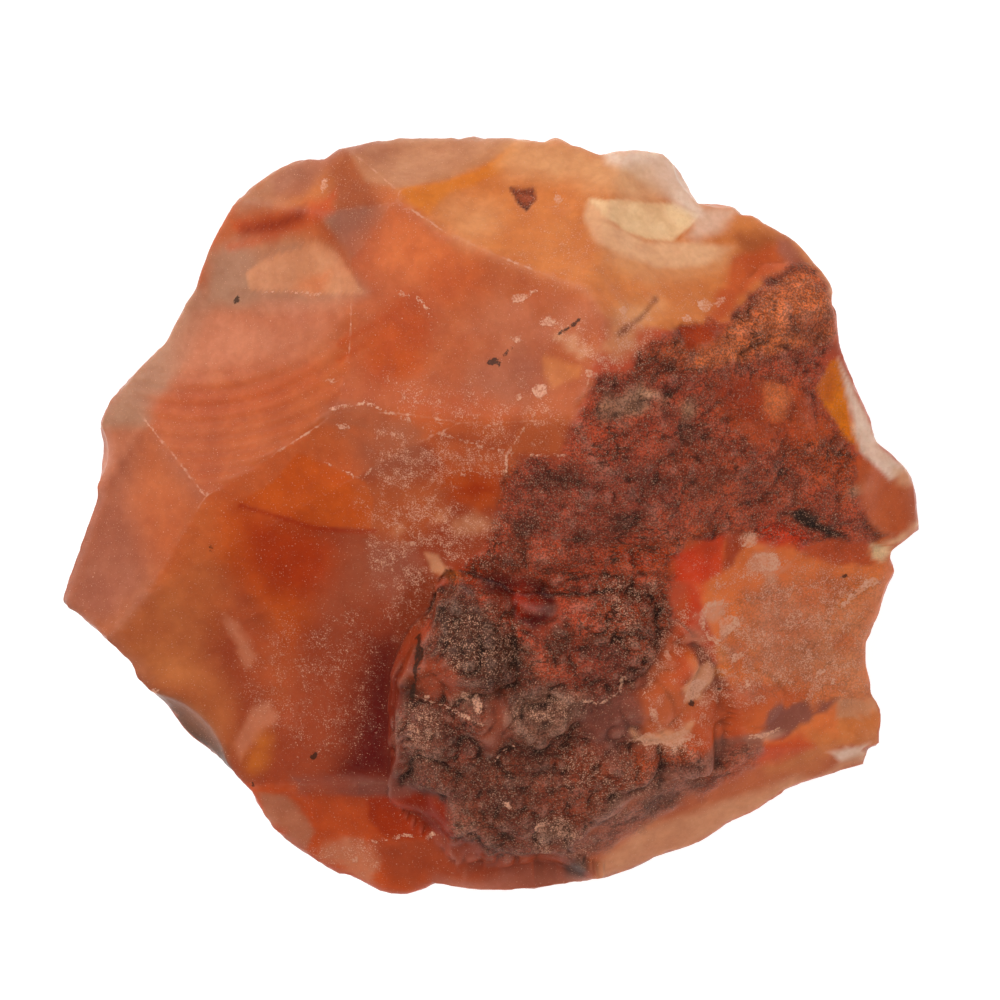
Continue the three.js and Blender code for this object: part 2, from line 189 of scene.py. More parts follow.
# The blow that made the scallop, in plan, and the ripples that spread from it.
BLOW = (-19.3, 22.3)
RIPPLE_START = 13.2
RIPPLE_LENGTH = 1.07

# The point in plan that the camera stands over.
AIM = (0.7, 1.07)

# -------------------- the colours

# Tones of the stone, red, green and blue from 0 to 255 as a screen shows them.
TONES = {
    "rose": (176, 101, 74), "salmon": (199, 101, 58), "pink tan": (212, 130, 96), "tan": (187, 137, 109),
    # veil: a brighter orange where a facet faces the soft light, partly the stone's colour and partly
    # painted sheen.
    "veil": (235, 122, 65), "lobe amber": (210, 121, 71), "red brown": (145, 63, 37),
    "pale orange": (233, 164, 113), "peach": (205, 138, 98), "orange": (223, 132, 74),
    "strip amber": (231, 133, 54), "cream": (255, 211, 161), "pink cream": (247, 190, 144),
    "pale pink": (253, 220, 197), "window amber": (246, 132, 30), "fire": (227, 65, 22),
    "ember": (197, 82, 20), "flame": (172, 60, 22), "deep orange": (208, 91, 37), "burnt": (172, 58, 22),
    "coral": (205, 100, 57), "rust": (167, 75, 48), "dark rust": (98, 22, 22), "blood": (90, 22, 22),
    "brick": (205, 86, 44), "maroon": (203, 87, 58), "dark maroon": (165, 76, 57),
    "rind brown": (250, 131, 75), "umber": (145, 73, 53), "soot": (60, 42, 34), "bark": (66, 40, 32),
    "olive": (207, 148, 114), "mauve": (174, 104, 84), "grey brown": (163, 98, 79),
    "dusty": (156, 116, 96), "chip": (224, 160, 130), "plum": (144, 84, 72), "sand": (225, 152, 110),
}

# The tone that each scar has where nothing is laid over it, in the order of the scars above. Besides
# the stone's colour, these tones carry painted light and shade: each scar is lighter or darker by how it
# faces the light, so the tone changes at its ridges.
TOP_TONES = [
    "rose", "salmon", "tan", "lobe amber", "salmon", "peach", "orange", "orange", "maroon", "maroon",
    "coral", "rust", "veil", "brick",
]
LUMP_TONES = ["umber", "dark rust", "maroon", "umber", "maroon", "umber"]
EDGE_TONES = ["salmon", "soot"]


def area(tone, amount, soft, ragged, *corners):
    """A closed area in plan. Its edge is `soft` mm wide and wanders by `ragged` mm."""
    return ("area", tone, amount, soft, ragged, corners)


def line(tone, amount, soft, ragged, width, *corners):
    """A line in plan, `width` mm wide, with ends that taper off."""
    return ("line", tone, amount, soft, ragged, corners, width)


def spots(tone, amount, soft, ragged, *ovals):
    """Ovals in plan: middle x and y, half length, half width, and turn in degrees."""
    return ("spots", tone, amount, soft, ragged, ovals)


# Laid on in this order, each over those before it.
COLOURS = [
    # The western tip, its rim facet and the strip outside the scallop.
    # The veil on the western tip's facet is partly painted sheen.
    area("veil", .5, 3, 0, (-22.9, 6), (-20.7, 2.8), (-18.2, 0.5), (-18.3, -2.9), (-21.5, -5.6),
        (-22.5, -2.9), (-23.9, 1.1)),
    area("lobe amber", .6, 3, .3, (-24.5, -9), (-25.9, -7.5), (-23.9, -6.2), (-20.5, -2.9), (-18.3, -2.9),
        (-17.6, -5.6), (-19.9, -10.9), (-22.6, -10.9)),
    area("pink tan", .7, .5, 0, (-26.1, 6.1), (-22.9, 6.1), (-25.7, 2), (-26.4, 1.7)),
    area("tan", .85, 1, .1, (-26.1, 5.9), (-26.3, 7.7), (-24.3, 9.7), (-21.6, 12.1), (-20, 15.7),
        (-18.3, 14.4), (-19.5, 11), (-21.6, 8.1), (-22.9, 5.9)),
    # The scallop: pale at its head, a deep band, then ripples.
    area("pink tan", .9, 3, 0, (-18.9, 14.4), (-15.2, 13.5), (-13.1, 13.3), (-10.4, 13.6), (-10.2, 12),
        (-12.5, 10.2), (-16.9, 9.6), (-20.9, 8.7), (-20.6, 11.7)),
    area("coral", .8, 1.6, .1, (-22.6, 7.9), (-19.2, 8.3), (-15.5, 8.6), (-11.3, 10.2), (-11, 8.5),
        (-15.1, 6.9), (-19.2, 6.4), (-22.6, 6.8)),
    # The north-west shoulder, its cream flake, and the lobe with two red bands.
    area("tan", .9, 1.5, .1, (-18.7, 17.4), (-16.8, 18.5), (-13.2, 18.6), (-10.2, 17.6), (-8.2, 14.8),
        (-10.5, 13.9), (-15.2, 13.7), (-18.9, 14)),
    area("pink tan", .7, 2, .2, (-15.1, 14.6), (-8.5, 14.7), (-9.9, 13.2), (-13.1, 13.1), (-15.9, 13.6)),
    area("sand", .85, .25, .12, (-16.2, 16.1), (-15, 17.1), (-13.2, 17.7), (-11.4, 18.2), (-10.2, 17.5),
        (-9.1, 16.1), (-8.3, 14.7), (-10.5, 14.7), (-13.2, 14.8), (-15.9, 15)),
    area("veil", .4, 1, .2, (-13.2, 15), (-12.7, 15.6), (-10.5, 16.3), (-11.1, 14.8)),
    area("lobe amber", .5, 2, .2, (-15.9, 18.2), (-12.6, 18.8), (-10.5, 17.6), (-12.6, 18.1),
        (-15.1, 17.3)),
    area("red brown", .7, 2, .2, (-10.6, 23.7), (-9.4, 24.2), (-7.6, 21.8), (-6.2, 20.4), (-6.9, 18.2),
        (-9.2, 16.8), (-10.9, 18.3), (-10.7, 20.9)),
    area("tan", .7, 2, .2, (-16.9, 21.7), (-14.3, 23.2), (-12.3, 23.7), (-11.3, 22.8), (-14.6, 20.7),
        (-16.6, 20.2)),
    area("brick", .9, .9, .2, (-17.2, 19.5), (-15.1, 19.8), (-12.6, 20.3), (-10.2, 21.5), (-10.4, 20.1),
        (-12.6, 19.2), (-14.9, 18.5), (-16.6, 18.8)),
    line("dark rust", .7, 1.3, .05, .7, (-16.2, 19), (-14.6, 19.3), (-13.6, 19.5), (-12.6, 19.9)),
    line("brick", .6, .6, .15, .5, (-17.2, 17.9), (-15.9, 18.2), (-14.2, 18.5)),
    # The broad flank below the main ridge.
    area("veil", .8, 3, .2, (-6.7, 20.8), (-3.9, 19.1), (-0.9, 17), (-2.6, 15.2), (-5.9, 15.3),
        (-7.8, 16.8)),
    area("coral", .5, 2.5, .3, (-7.6, 19.2), (-6.2, 18.2), (-7.6, 16.3), (-9.5, 16.3), (-9.5, 17.9)),
    area("deep orange", .7, 3, .3, (-4.5, 16.1), (-2.6, 16.7), (-0.6, 16.5), (-0.4, 15), (-2.3, 13.9),
        (-4, 14.2)),
    area("deep orange", .6, 2, .2, (-7.7, 13.1), (-5.6, 14.8), (-4.7, 14.4), (-7.2, 11.3), (-9.5, 9.9),
        (-9.8, 11.5)),
    area("ember", .97, 2.2, .2, (-6.2, 13.7), (-4.8, 14.3), (-3.8, 12.9), (-3.9, 11.3), (-4.8, 9.4),
        (-6.4, 8.5), (-7.9, 8.9), (-8.4, 10.1), (-8, 11.6)),
    line("ember", .7, .4, 0, .35, (-9.8, 11.4), (-7.7, 12.6), (-5.6, 13.7)),
    line("ember", .7, .4, 0, .35, (-9.9, 10.3), (-8.4, 11.2), (-6.5, 12.4)),
    area("coral", .5, 2, .3, (-10.5, 8.6), (-8.2, 8.7), (-6.5, 8.2), (-3.9, 9), (-5.9, 6.9), (-8.5, 7.5),
        (-11.1, 7.8)),
    area("pink tan", .45, 3, .4, (0.7, 14.2), (4.6, 14.2), (7.3, 14.2), (7.6, 12.2), (3.3, 11.2),
        (0.7, 10.8), (-1.3, 12.3)),
    area("rose", .7, 3, .4, (0.7, 10.8), (3.7, 11.2), (3.7, 8.6), (1.5, 6.3), (-1.3, 7.6), (-1, 9.9)),
    area("coral", .85, 1.5, .3, (-6.5, 8.9), (-3.9, 8.2), (-0.6, 7.9), (2, 7.1), (1.2, 4.6), (-0.4, 4.8),
        (-2.5, 5.3), (-5.8, 6.6)),
    area("salmon", .8, .5, .15, (1.2, 4.2), (2.3, 6.4), (3.5, 7.8), (5.8, 9), (7.1, 8.9), (5.3, 6.3),
        (4.6, 4), (2.7, 4)),
    area("orange", .8, .4, .1, (3.5, 10.6), (6.1, 9.8), (5.9, 9.2), (4.1, 8.3), (3.5, 9.3)),
    area("pink cream", .55, 1, .5, (4.4, 11.8), (5.6, 11.8), (6.6, 10.8), (6.1, 10.2), (4.6, 10.9)),
    # The pale north rim, the amber strip below it and the orange north face.
    area("peach", .95, .5, .05, (-9.5, 24.5), (-7.8, 25), (-2.1, 25.3), (1.7, 25.1), (1.2, 24.3),
        (-0.1, 23.4), (-2.9, 22.2), (-6, 21.7), (-8.2, 22.2)),
    area("red brown", .45, 2, .2, (-9.7, 24.5), (-7.3, 24.9), (-5.6, 24.6), (-6.9, 23.3), (-8.2, 22.5)),
    area("strip amber", .95, .4, .08, (-6, 21.6), (-2.9, 22.1), (-0.8, 22.9), (0.4, 23.6), (1.5, 24.6),
        (2.3, 24.3), (1, 22.9), (-0.8, 22), (-2.5, 21.4), (-3.3, 20.7), (-4, 19.8), (-5.2, 20.7)),
    area("pale orange", .95, 2, .2, (1.5, 25.1), (4.7, 25.1), (7.6, 23.8), (10.6, 23.6), (10, 20.9),
        (7, 21.4), (4.7, 22.2), (1.4, 22.4), (0.7, 23.2)),
    area("orange", .6, 2, .2, (-3.3, 19.9), (0.7, 20.9), (6, 20.2), (7.7, 17.5), (7.6, 14.2), (3.3, 15.6),
        (-1.3, 17.5)),
    area("pale orange", .5, 2.5, .3, (-3.9, 19.7), (-2.5, 21), (0.7, 20.5), (0.7, 19.2), (-1.3, 17.9)),
    area("rust", .9, .25, .12, (1.4, 21.7), (2.9, 21.8), (3.1, 21), (2.5, 20.2), (1.8, 20.7)),
    # The cream patch, the paler band below it and the pale wedge at the rim.
    area("pale orange", .6, 1.5, .2, (6.5, 20.5), (8.1, 18.5), (11.2, 16.8), (16.2, 17.5), (16.7, 16.9),
        (13.2, 15.4), (9.9, 15.5), (7.7, 16.7), (6.6, 18.7)),
    area("pink cream", .9, .6, .15, (6.2, 19.9), (6.8, 20.9), (8.1, 19.3), (10.3, 18.2), (12.6, 18.1),
        (16.4, 17.9), (15.5, 17.2), (13.7, 16.5), (11.2, 16.4), (9, 17.1), (7, 18)),
    area("cream", .95, .25, .08, (6.6, 20.9), (10.1, 20.8), (12.1, 20.7), (13.9, 20), (13.3, 19.1),
        (12.1, 18.2), (10.3, 18.3), (9, 18.8), (7.8, 19.7)),
    area("pale pink", .9, .9, .12, (7.6, 24.2), (11, 24.4), (12.3, 23.6), (13.3, 21.9), (14.1, 20),
        (13.3, 20), (12.1, 20.8), (10.5, 21.8), (8.9, 22.9), (7.7, 23.3)),
    area("pale pink", .6, 1, .15, (13.9, 20.5), (16.3, 20.4), (15.8, 19.1), (13.9, 18.3), (12.9, 18.4),
        (13.4, 19.2)),
    area("orange", .7, 1.2, .2, (15.8, 19.5), (17.9, 19.8), (19.1, 18.6), (16.9, 17.6), (15.5, 17.7)),
    area("red brown", .6, 1.2, .3, (16.7, 18.6), (18.9, 19.2), (19.9, 18.3), (17.9, 16.8), (16.4, 17.1)),
    area("pale orange", .7, 1.6, .5, (7.4, 13.5), (9.9, 14.2), (11.7, 14), (10.9, 12.8), (9.7, 11.6),
        (8.4, 10.1), (7.4, 10.9)),
    area("orange", .8, 1, .2, (11.7, 14.2), (13.9, 14.4), (15.7, 15.3), (16.2, 14.3), (14.7, 12.8),
        (13.2, 12.2), (11.3, 12.8)),
    area("brick", .8, 1, .25, (19.3, 18.3), (21, 16.8), (19.9, 16.3), (18, 15.6), (16.7, 14.4),
        (15.7, 12.7), (14.2, 12.3), (14.7, 13.7), (15.4, 15.3), (16.2, 17.2)),
    area("mauve", .85, 1, .2, (19, 18.6), (19.9, 18.3), (21, 17.1), (21.1, 16.6), (19.9, 16.8),
        (19.1, 17.5)),
    line("dark rust", .7, .5, .15, .25, (8.5, 12), (9.9, 13), (10.9, 14.2)),
    # The rind: maroon and brown, with dark streaks, olive patches and one amber window.
    area("maroon", .95, .5, .4, (19.9, 16.4), (18.2, 15.5), (16.7, 14.3), (15.7, 12.9), (14.6, 12.5),
        (12.1, 12.3), (11.2, 11.7), (10, 10.7), (9, 9.7), (7.6, 9.3), (6.6, 8.1), (5.7, 6.3), (4.6, 3.8),
        (2, 3.7), (1.4, 3), (0.8, 1.1), (0.6, 0), (0, -1.6), (-1.8, -3.1), (-2.9, -4), (-1.3, -4.9),
        (0.7, -8.2), (4.7, -8.8), (9.9, -6.9), (11.8, -4.5), (11.8, -2.9), (13.2, -1.7), (16.6, -1.1),
        (20.6, -2.1), (24.8, -3.1), (25.9, -1.6), (26, 1.7), (25.3, 3.7), (23.9, 5), (22.1, 7.7),
        (22.5, 10.9), (23.1, 12.3), (22.8, 14.3), (21.6, 16.4)),
    area("rind brown", .95, 1, .4, (19.9, 16.3), (18.1, 15.4), (16.7, 14), (15.7, 12.7), (14.7, 11.9),
        (12.1, 11.7), (10.5, 10.5), (13.8, 9.5), (17.2, 9.9), (23.1, 11.3), (23.1, 13.1), (22.8, 14.3),
        (21.6, 16.2)),
    area("rust", .8, 1.2, .4, (9.4, 9.5), (10.9, 11.4), (13.2, 12), (13.7, 10.8), (13.2, 9.5), (11.2, 8.7),
        (9.9, 8.7)),
    area("flame", .9, 1, .3, (12.2, 12.4), (14.6, 12.5), (15.7, 12.8), (15.3, 11.7), (14.2, 10.9),
        (13.2, 11.2)),
    spots("deep orange", .6, 1, .3, (21.7, 15, 0.33, 0.67, 10)),
    line("dark rust", .8, .8, .3, .4, (20, 16.2), (18.1, 15.3), (16.7, 14), (16, 13.1)),
    line("dark maroon", .9, 1, .4, .9, (7.6, 8.9), (9.9, 8.4), (13.2, 8.8), (16.5, 9.8), (19.9, 10.8),
        (22.9, 11.3)),
    area("dark maroon", .6, 1.2, .4, (19.8, 13.2), (22.9, 13.5), (23.1, 12.1), (21.3, 11.8),
        (19.8, 12.3)),
    area("dark maroon", .5, 1.2, .4, (16.4, 14.3), (18.6, 15.5), (20.6, 15.6), (18.5, 14.7),
        (17.1, 13.3)),
    area("brick", .85, 1.2, .5, (13.8, 9), (18, 9.4), (20.5, 9), (22, 7), (23.6, 5), (25.1, 3.1),
        (23.9, 1.1), (20.5, 3.1), (17.8, 4.6), (14.9, 6.9)),
    area("flame", .7, 1, .4, (14.1, 8.8), (17.8, 9), (18.4, 7.4), (17.2, 6.5), (15.3, 7.5)),
    area("rind brown", .8, .8, .5, (18.1, 8.7), (19.9, 9), (20.1, 7.7), (19.3, 6.7), (18.3, 7.1)),
    area("deep orange", .5, 1.6, .4, (20.5, 6.1), (22, 6.4), (23.4, 4.6), (23.6, 3.6), (21.3, 3.8)),
    spots("olive", .95, .9, .5, (9.1, 7.2, 1.6, 0.93, 10), (13.1, 7, 0.73, 0.47, 30),
        (10.4, 7.8, 0.8, 0.47, 0)),
    line("grey brown", .5, 1, .5, .6, (11.3, 6.7), (13.2, 5.7), (15.1, 4.9)),
    area("rust", .6, 2, .6, (11.4, 4.9), (16.5, 5), (19.9, 3.1), (20.6, 1.1), (15.2, 0.7), (11.4, 1.7)),
    area("dark maroon", .75, 2, .6, (3, 3.6), (7.3, 4), (11.5, 3.6), (11.7, 1.1), (9.9, -0.9), (7.7, -1.4),
        (4.6, -1.4), (2, -1.6), (1, 0), (2, 2.4)),
    spots("soot", .6, 1.2, .6, (4.4, 2.5, 1.33, 0.67, 20), (8.7, -0.5, 1.27, 0.53, -25),
        (2, -1, 1.33, 0.6, 30), (6.3, -1.2, 1.47, 0.33, 0)),
    line("soot", .6, .8, .35, .5, (10.9, 2.3), (13.2, 2.4), (14.7, 1.6)),
    area("brick", .9, 1, .4, (8.3, -2.1), (11.8, -1.6), (13.9, -0.8), (16.9, -0.6), (13.9, -2.6),
        (12, -3.9), (9.9, -3.7), (8.1, -3.3)),
    line("soot", .95, .4, .25, .35, (19.4, 0.2), (20.6, 0.1), (21.4, -0.1)),
    line("soot", .98, .4, .25, 1, (20.8, 0), (22.1, -0.7), (23.3, -1.7)),
    line("dark maroon", .7, .8, .3, .6, (21.9, 0.4), (23.9, -0.5), (25.7, -0.7)),
    area("fire", .85, .6, .25, (12.3, -2.6), (13.9, -1.6), (15.7, -1.1), (15.5, -3.9), (13.9, -4.5),
        (12.3, -4.2)),
    area("fire", .85, .6, .25, (17.7, -0.5), (19.9, -0.3), (21.4, -1.2), (20.6, -2.1), (18.6, -2.1),
        (17.6, -1.7)),
    area("brick", .9, .6, .25, (21.4, -1.3), (23.3, -1.6), (25.4, -1.9), (25.8, -3.1), (23.3, -3.2),
        (20.9, -2.6)),
    spots("olive", .9, .4, .2, (24.7, 1.8, 0.8, 0.33, 10)),
    area("window amber", .95, .25, .12, (21.7, 8.5), (22.5, 10.2), (23.1, 10.5), (23.7, 8), (24.2, 5.7),
        (24.6, 4.2), (23.7, 5.2), (22.6, 6.6)),
    area("deep orange", .5, .8, .3, (21.7, 8.5), (22.5, 10.2), (22.9, 9.5), (22.7, 7.7)),
    # The rim east of the window, and the notch with its cream chip.
    area("pale pink", .9, .4, .08, (23.1, 10.5), (24.4, 8), (25.2, 6.3), (26, 4.6), (27.8, 3.1),
        (26.7, 2.3), (25.7, 3.2), (24.6, 4.2), (24.2, 5.7), (23.7, 8)),
    area("coral", .9, .6, .1, (24.6, 4), (25.7, 3.2), (26.7, 2.3), (27.9, 3.1), (28.4, 1.7), (28.8, -0.3),
        (26.9, -1.6), (25.9, -1.3), (25, 0.3), (24.4, 2.1)),
    area("pink cream", .6, .8, .1, (26.8, 3.1), (27.9, 3.1), (28.3, 2), (27.2, 2.1)),
    line("pink cream", .9, .4, .1, .35, (28.6, -0.5), (27.7, -1.3), (26.9, -1.8), (26.5, -2.4)),
    area("cream", .95, .3, .1, (25.3, -1.7), (26.3, -2), (26.8, -2.4), (26, -3.1), (25.4, -2.7)),
    # The pink south-east face: a red strip, cream patches, plum stains and a smooth orange foot.
    area("pink tan", .6, 3, .3, (17.3, -4.9), (20.6, -4.2), (22.6, -5.6), (22, -10.9), (18.6, -11.1),
        (16.6, -8.9)),
    area("sand", .5, 3, .3, (23, -5.6), (26, -4.9), (25.2, -8.9), (25.8, -12.3), (23.2, -12.3),
        (20.6, -9.6)),
    area("fire", .6, .8, .25, (13.2, -2.9), (14.7, -2.6), (14.3, -4.9), (13.7, -8.2), (13.3, -10.3),
        (12.3, -11.5), (11.5, -10.8), (12.2, -8.8), (12.9, -6.2)),
    area("brick", .6, .6, .15, (11.8, -8.2), (12.6, -5.5), (13.2, -4.9), (12.9, -8.2), (11.8, -11.5),
        (11, -11.5)),
    area("coral", .8, 1, .3, (10, -11.5), (11.5, -11.1), (13.3, -11.5), (16.6, -11.5), (18, -12.2),
        (16.6, -14.7), (14, -15), (11.3, -15), (10, -14.2)),
    area("sand", .85, .3, .25, (12.7, -11.2), (13.9, -9.8), (14.7, -9.5), (15, -10.6), (14.2, -12.2),
        (12.9, -12.3)),
    area("pink tan", .35, 1, 1.5, (17.2, -4.2), (18.9, -3.9), (20, -6.9), (19.6, -11.6), (18.3, -11.9),
        (17.4, -8.2)),
    spots("chip", .6, .9, .8, (17, -1.5, 0.67, 0.4, 20), (18, -2.6, 0.8, 0.53, 40),
        (19, -3.4, 0.6, 0.33, 20), (14.8, -6.2, 0.67, 0.53, 80), (16.1, -7.2, 0.87, 0.47, 25),
        (14.1, -8.2, 0.53, 0.53, 0), (14.2, -10.1, 0.6, 0.47, 0), (14.7, -12, 0.47, 0.27, 40),
        (17, -11.5, 0.47, 0.27, 10), (16.1, -9, 0.4, 0.27, 0)),
    spots("window amber", .5, .5, .15, (15.4, -9.2, 0.33, 0.6, 20), (15.5, -10.3, 0.4, 0.53, 0),
        (13.3, -9.5, 0.27, 0.53, 10)),
    spots("coral", .6, 1, .3, (22, -4.9, 1.73, 1.2, 0), (23.7, -8.3, 0.8, 0.67, 0),
        (16.5, -9.2, 0.8, 1.33, 0)),
    area("brick", .6, .8, .2, (15, -11.7), (16.7, -11), (19.7, -11.2), (21.1, -11.8), (19, -14.4),
        (16.8, -14.7), (14, -15.2), (11.4, -15), (12.6, -13.6)),
    area("plum", .9, .5, .3, (18.1, -14.5), (19.2, -12.5), (20.7, -12.4), (21.5, -12.8), (23.1, -12.1),
        (22.4, -13.1), (20.7, -14), (19.7, -15), (18.6, -15)),
    spots("chip", .8, .4, .15, (18.4, -14.7, 1, 0.33, 10)),
    area("orange", .6, 1, .2, (18.8, -15.7), (21.1, -14.5), (23.1, -14.3), (23.3, -15.6), (21.1, -16.8),
        (18.6, -17.2), (17.9, -16.4)),
    area("fire", .6, 1, .2, (17.4, -15.3), (20.7, -14.5), (21.5, -15.3), (19.3, -16.4), (17.7, -16.6)),
    area("flame", .85, .5, .2, (15.4, -1.2), (16.7, -0.8), (17, -2), (16.2, -3.3), (15.4, -3.8)),
    line("window amber", .5, .6, .15, .4, (23.3, -6), (24.4, -5.1), (25.5, -4.3)),
    area("orange", .75, .3, .05, (23.2, -13.3), (26.3, -13.2), (26.3, -15.3), (25.2, -15.6),
        (23.2, -15.3)),
    area("sand", .95, .3, .08, (23.1, -12.2), (25.8, -12), (26.3, -13.2), (23.2, -13.4)),
    area("pale pink", .8, .4, .05, (22.7, -15.7), (25.3, -15.4), (25.4, -16.3), (24.9, -16.9),
        (22.7, -16.7)),
    # Below the ledge: frosted face, lens facet, bright amber tongue and the amber face.
    area("rose", .6, 1, .2, (-11.2, 7.5), (-8.2, 7.5), (-4.5, 5.9), (-4.3, 5.3), (-8.5, 5.7),
        (-11.1, 6.1)),
    area("coral", .6, 1, .2, (-11.1, 5.8), (-9.1, 5.7), (-7.7, 4.8), (-8.1, 2.8), (-11, 3.6),
        (-12.7, 4.2)),
    area("deep orange", .9, .3, .05, (-16.5, 0.9), (-14.1, 2.5), (-12.7, 4.2), (-11, 3.5), (-8.2, 2.3),
        (-7.6, 1.1), (-7.8, -0.9), (-8.9, -0.8), (-11.6, -0.7), (-14.1, 0.2)),
    area("rose", .7, 2, .3, (-9.5, 5.6), (-4.5, 5.7), (-4.3, 3), (-5.9, 2.1), (-8.5, 2.5)),
    area("salmon", .7, 2, .4, (-8.5, 2.3), (-3.3, 2.7), (-2.9, -0.3), (-5.9, -1.9), (-7.8, -0.9)),
    area("coral", .8, .8, .2, (-4.4, 5.3), (0.7, 4.4), (2, 3.6), (1, 2.6), (-2.7, 2.9)),
    area("deep orange", .9, 1.6, .3, (-3.3, 3), (0.9, 2.8), (0.7, 1.1), (-0.6, 0.5), (-2.3, 1.3)),
    spots("burnt", .9, 1.6, .3, (-0.8, 1.9, 1.2, 0.67, 10)),
    spots("sand", .6, 1, .5, (-1.5, -0.4, 1.13, 0.53, -10), (-5.8, -0.8, 0.27, 0.4, 0)),
    area("deep orange", .8, 2.5, .2, (-18.1, 0.5), (-16.5, 0.7), (-12.5, -0.5), (-10, -2.9), (-11.9, -6.9),
        (-13.3, -8.9), (-15.1, -6.2), (-16.6, -4.2), (-18.3, -2.9)),
    line("burnt", .8, .25, .04, .3, (-16.5, 0.7), (-14.1, 0), (-11.6, -0.8), (-9.2, -1), (-7.6, -1)),
    area("burnt", .9, 3, .2, (-16.5, 0.3), (-12.5, -0.6), (-10.2, -1.9), (-10, -4.2), (-11.9, -5.6),
        (-14.6, -4.9), (-16.2, -2.9)),
    area("salmon", .6, 2.5, .3, (-21.9, -0.3), (-18.3, 0.3), (-18.3, -2.9), (-17.1, -5.6), (-18.2, -8.2),
        (-20.5, -5.6)),
    area("coral", .5, 3, .3, (-17.6, -5.6), (-15.1, -6.4), (-12.6, -9.6), (-13.3, -13.6), (-15.1, -12.2),
        (-16.6, -9.6)),
    area("rose", .5, 4, .4, (-9.2, -1.6), (-5.9, -2.9), (-6.9, -6.9), (-9.6, -8.9), (-11.2, -5.6)),
    area("rust", .9, 4, .3, (-9.6, -5.6), (-5.4, -5.6), (-5.7, -18.2), (-12.6, -18.2), (-13.3, -14.9),
        (-11.3, -10.9)),
    area("dark rust", .95, 4, .3, (-7.8, -8.2), (-5.7, -7.9), (-5.8, -17.9), (-10.6, -17.9),
        (-9.1, -13.6)),
    area("lobe amber", .6, 2.5, .2, (-24.6, -9), (-21.9, -8.2), (-18.2, -9.6), (-16.9, -12.2),
        (-16.7, -16.2), (-19.3, -14.4), (-22.6, -11.6)),
    area("pink tan", .85, .5, .2, (-17.8, -6.5), (-16.6, -7.2), (-15.5, -9.3), (-16.1, -10.1),
        (-16.7, -8.9)),
    area("pink tan", .85, .6, .2, (-15.9, -12.8), (-14.7, -12.5), (-14.1, -13.4), (-15.1, -14.5),
        (-16.1, -15.6), (-16.6, -16.4), (-17, -15.2)),
    spots("lobe amber", .8, 1.2, .2, (-21.1, -10.4, 1.33, 0.67, -20)),
    spots("strip amber", .6, 1.4, .2, (-15.5, -16.2, 0.93, 0.67, 60), (-15, -15, 0.53, 0.67, 0)),
    area("mauve", .5, 1.6, .5, (-7.5, -1.9), (-5.1, -1.8), (-4.3, -3.6), (-5.9, -5.6), (-7.4, -4.9)),
    area("red brown", .8, 1.2, .4, (-5.6, -3.6), (-2.9, -4), (-3.1, -5.5), (-4.3, -7.5), (-5.1, -11.5),
        (-6, -11.5), (-5.9, -6.9)),
    area("sand", .9, .35, .15, (-4.3, -2.4), (-3.4, -2.6), (-2.6, -3.6), (-3, -4), (-3.9, -3.6)),
    spots("window amber", .6, 1, .2, (-2.4, -3.9, 0.53, 0.27, 0)),
    area("burnt", .8, 1, .3, (-2.7, -3.3), (-1.3, -2.6), (0.1, -2.9), (0.4, -4.1), (-1.3, -4.5)),
    area("blood", .95, 1.2, .4, (-0.6, -4.2), (0.7, -3.7), (2.7, -3.9), (4.4, -5), (4.7, -7), (3.3, -7.8),
        (1.7, -6.7), (0.4, -5.5)),
    spots("fire", .5, 1, .4, (2, -5.4, 0.8, 0.93, 0), (10.3, -2.9, 1.47, 0.53, 0)),
    # The dark lump: two dark domes, a brown facet, dusty crusts and chipped edges.
    area("maroon", .8, 1, .4, (4.7, -5.5), (6.6, -4.9), (6.6, -8.2), (8.5, -11.5), (7.3, -12.3),
        (5.3, -11.5), (3.3, -10.1), (2.7, -8.2)),
    area("soot", .68, .9, .5, (-3.7, -6.3), (-2.6, -5.7), (-0.6, -5.6), (0.7, -6.3), (1.7, -8), (2, -9.8),
        (1, -10.8), (-0.3, -11.1), (-1.8, -10.1), (-2.9, -9.2), (-3.7, -8.2)),
    area("rust", .75, .7, .5, (6.8, -4.5), (7.6, -3.8), (9.9, -4.1), (11.5, -4.5), (12.2, -5.8),
        (12.1, -6.9), (11.3, -8.8), (9.7, -9.8), (7.6, -8.2), (6.8, -6.2)),
    area("dark maroon", .8, 1, .4, (5.5, -8.8), (7.3, -8.2), (9.9, -9.4), (9, -10.6), (8.1, -11.6),
        (6.6, -11.5)),
    area("rust", .8, .6, .3, (-4.5, -9.2), (-3.3, -9), (-2.1, -10.3), (-1.5, -11.6), (-3.3, -12.5),
        (-5, -11.9), (-4.9, -10.2)),
    area("grey brown", .6, .8, .5, (-5.8, -12.5), (-3.3, -13.1), (-2.7, -15.1), (-3.9, -17.5),
        (-5.9, -17.7), (-6, -14.8)),
    area("dark maroon", .8, 1, .4, (-3.3, -13.6), (-1.3, -13.6), (-0.4, -15.1), (-0.9, -16.5),
        (-2.9, -16.5)),
    area("dusty", .55, .9, .5, (1.4, -12.1), (2.7, -11.2), (4.7, -11.6), (6.6, -12.1), (5.7, -13.6),
        (4.7, -14.9), (2.7, -15.1), (1.5, -14)),
    area("plum", .6, 1, .3, (6.6, -12.1), (9, -11.5), (10, -12.5), (9.7, -14.5), (8.1, -16.8),
        (6.7, -15.1), (5.7, -14.1)),
    area("sand", .9, .4, .35, (9.4, -14), (10, -14.7), (11.3, -14.2), (12.5, -14), (13.3, -13.5),
        (12.4, -15.2), (10.6, -15.4), (9.6, -15.1)),
    area("coral", .6, 1, .4, (10.6, -10.2), (11.8, -8.2), (12.9, -8.2), (13.3, -10.8), (11.5, -11.5),
        (10.8, -12.2)),
    area("rust", .7, 1.4, .5, (4.7, -15.1), (7.3, -15.5), (8.6, -17.5), (7.3, -19.8), (4.7, -21.2),
        (3, -19.8), (2.7, -17.5)),
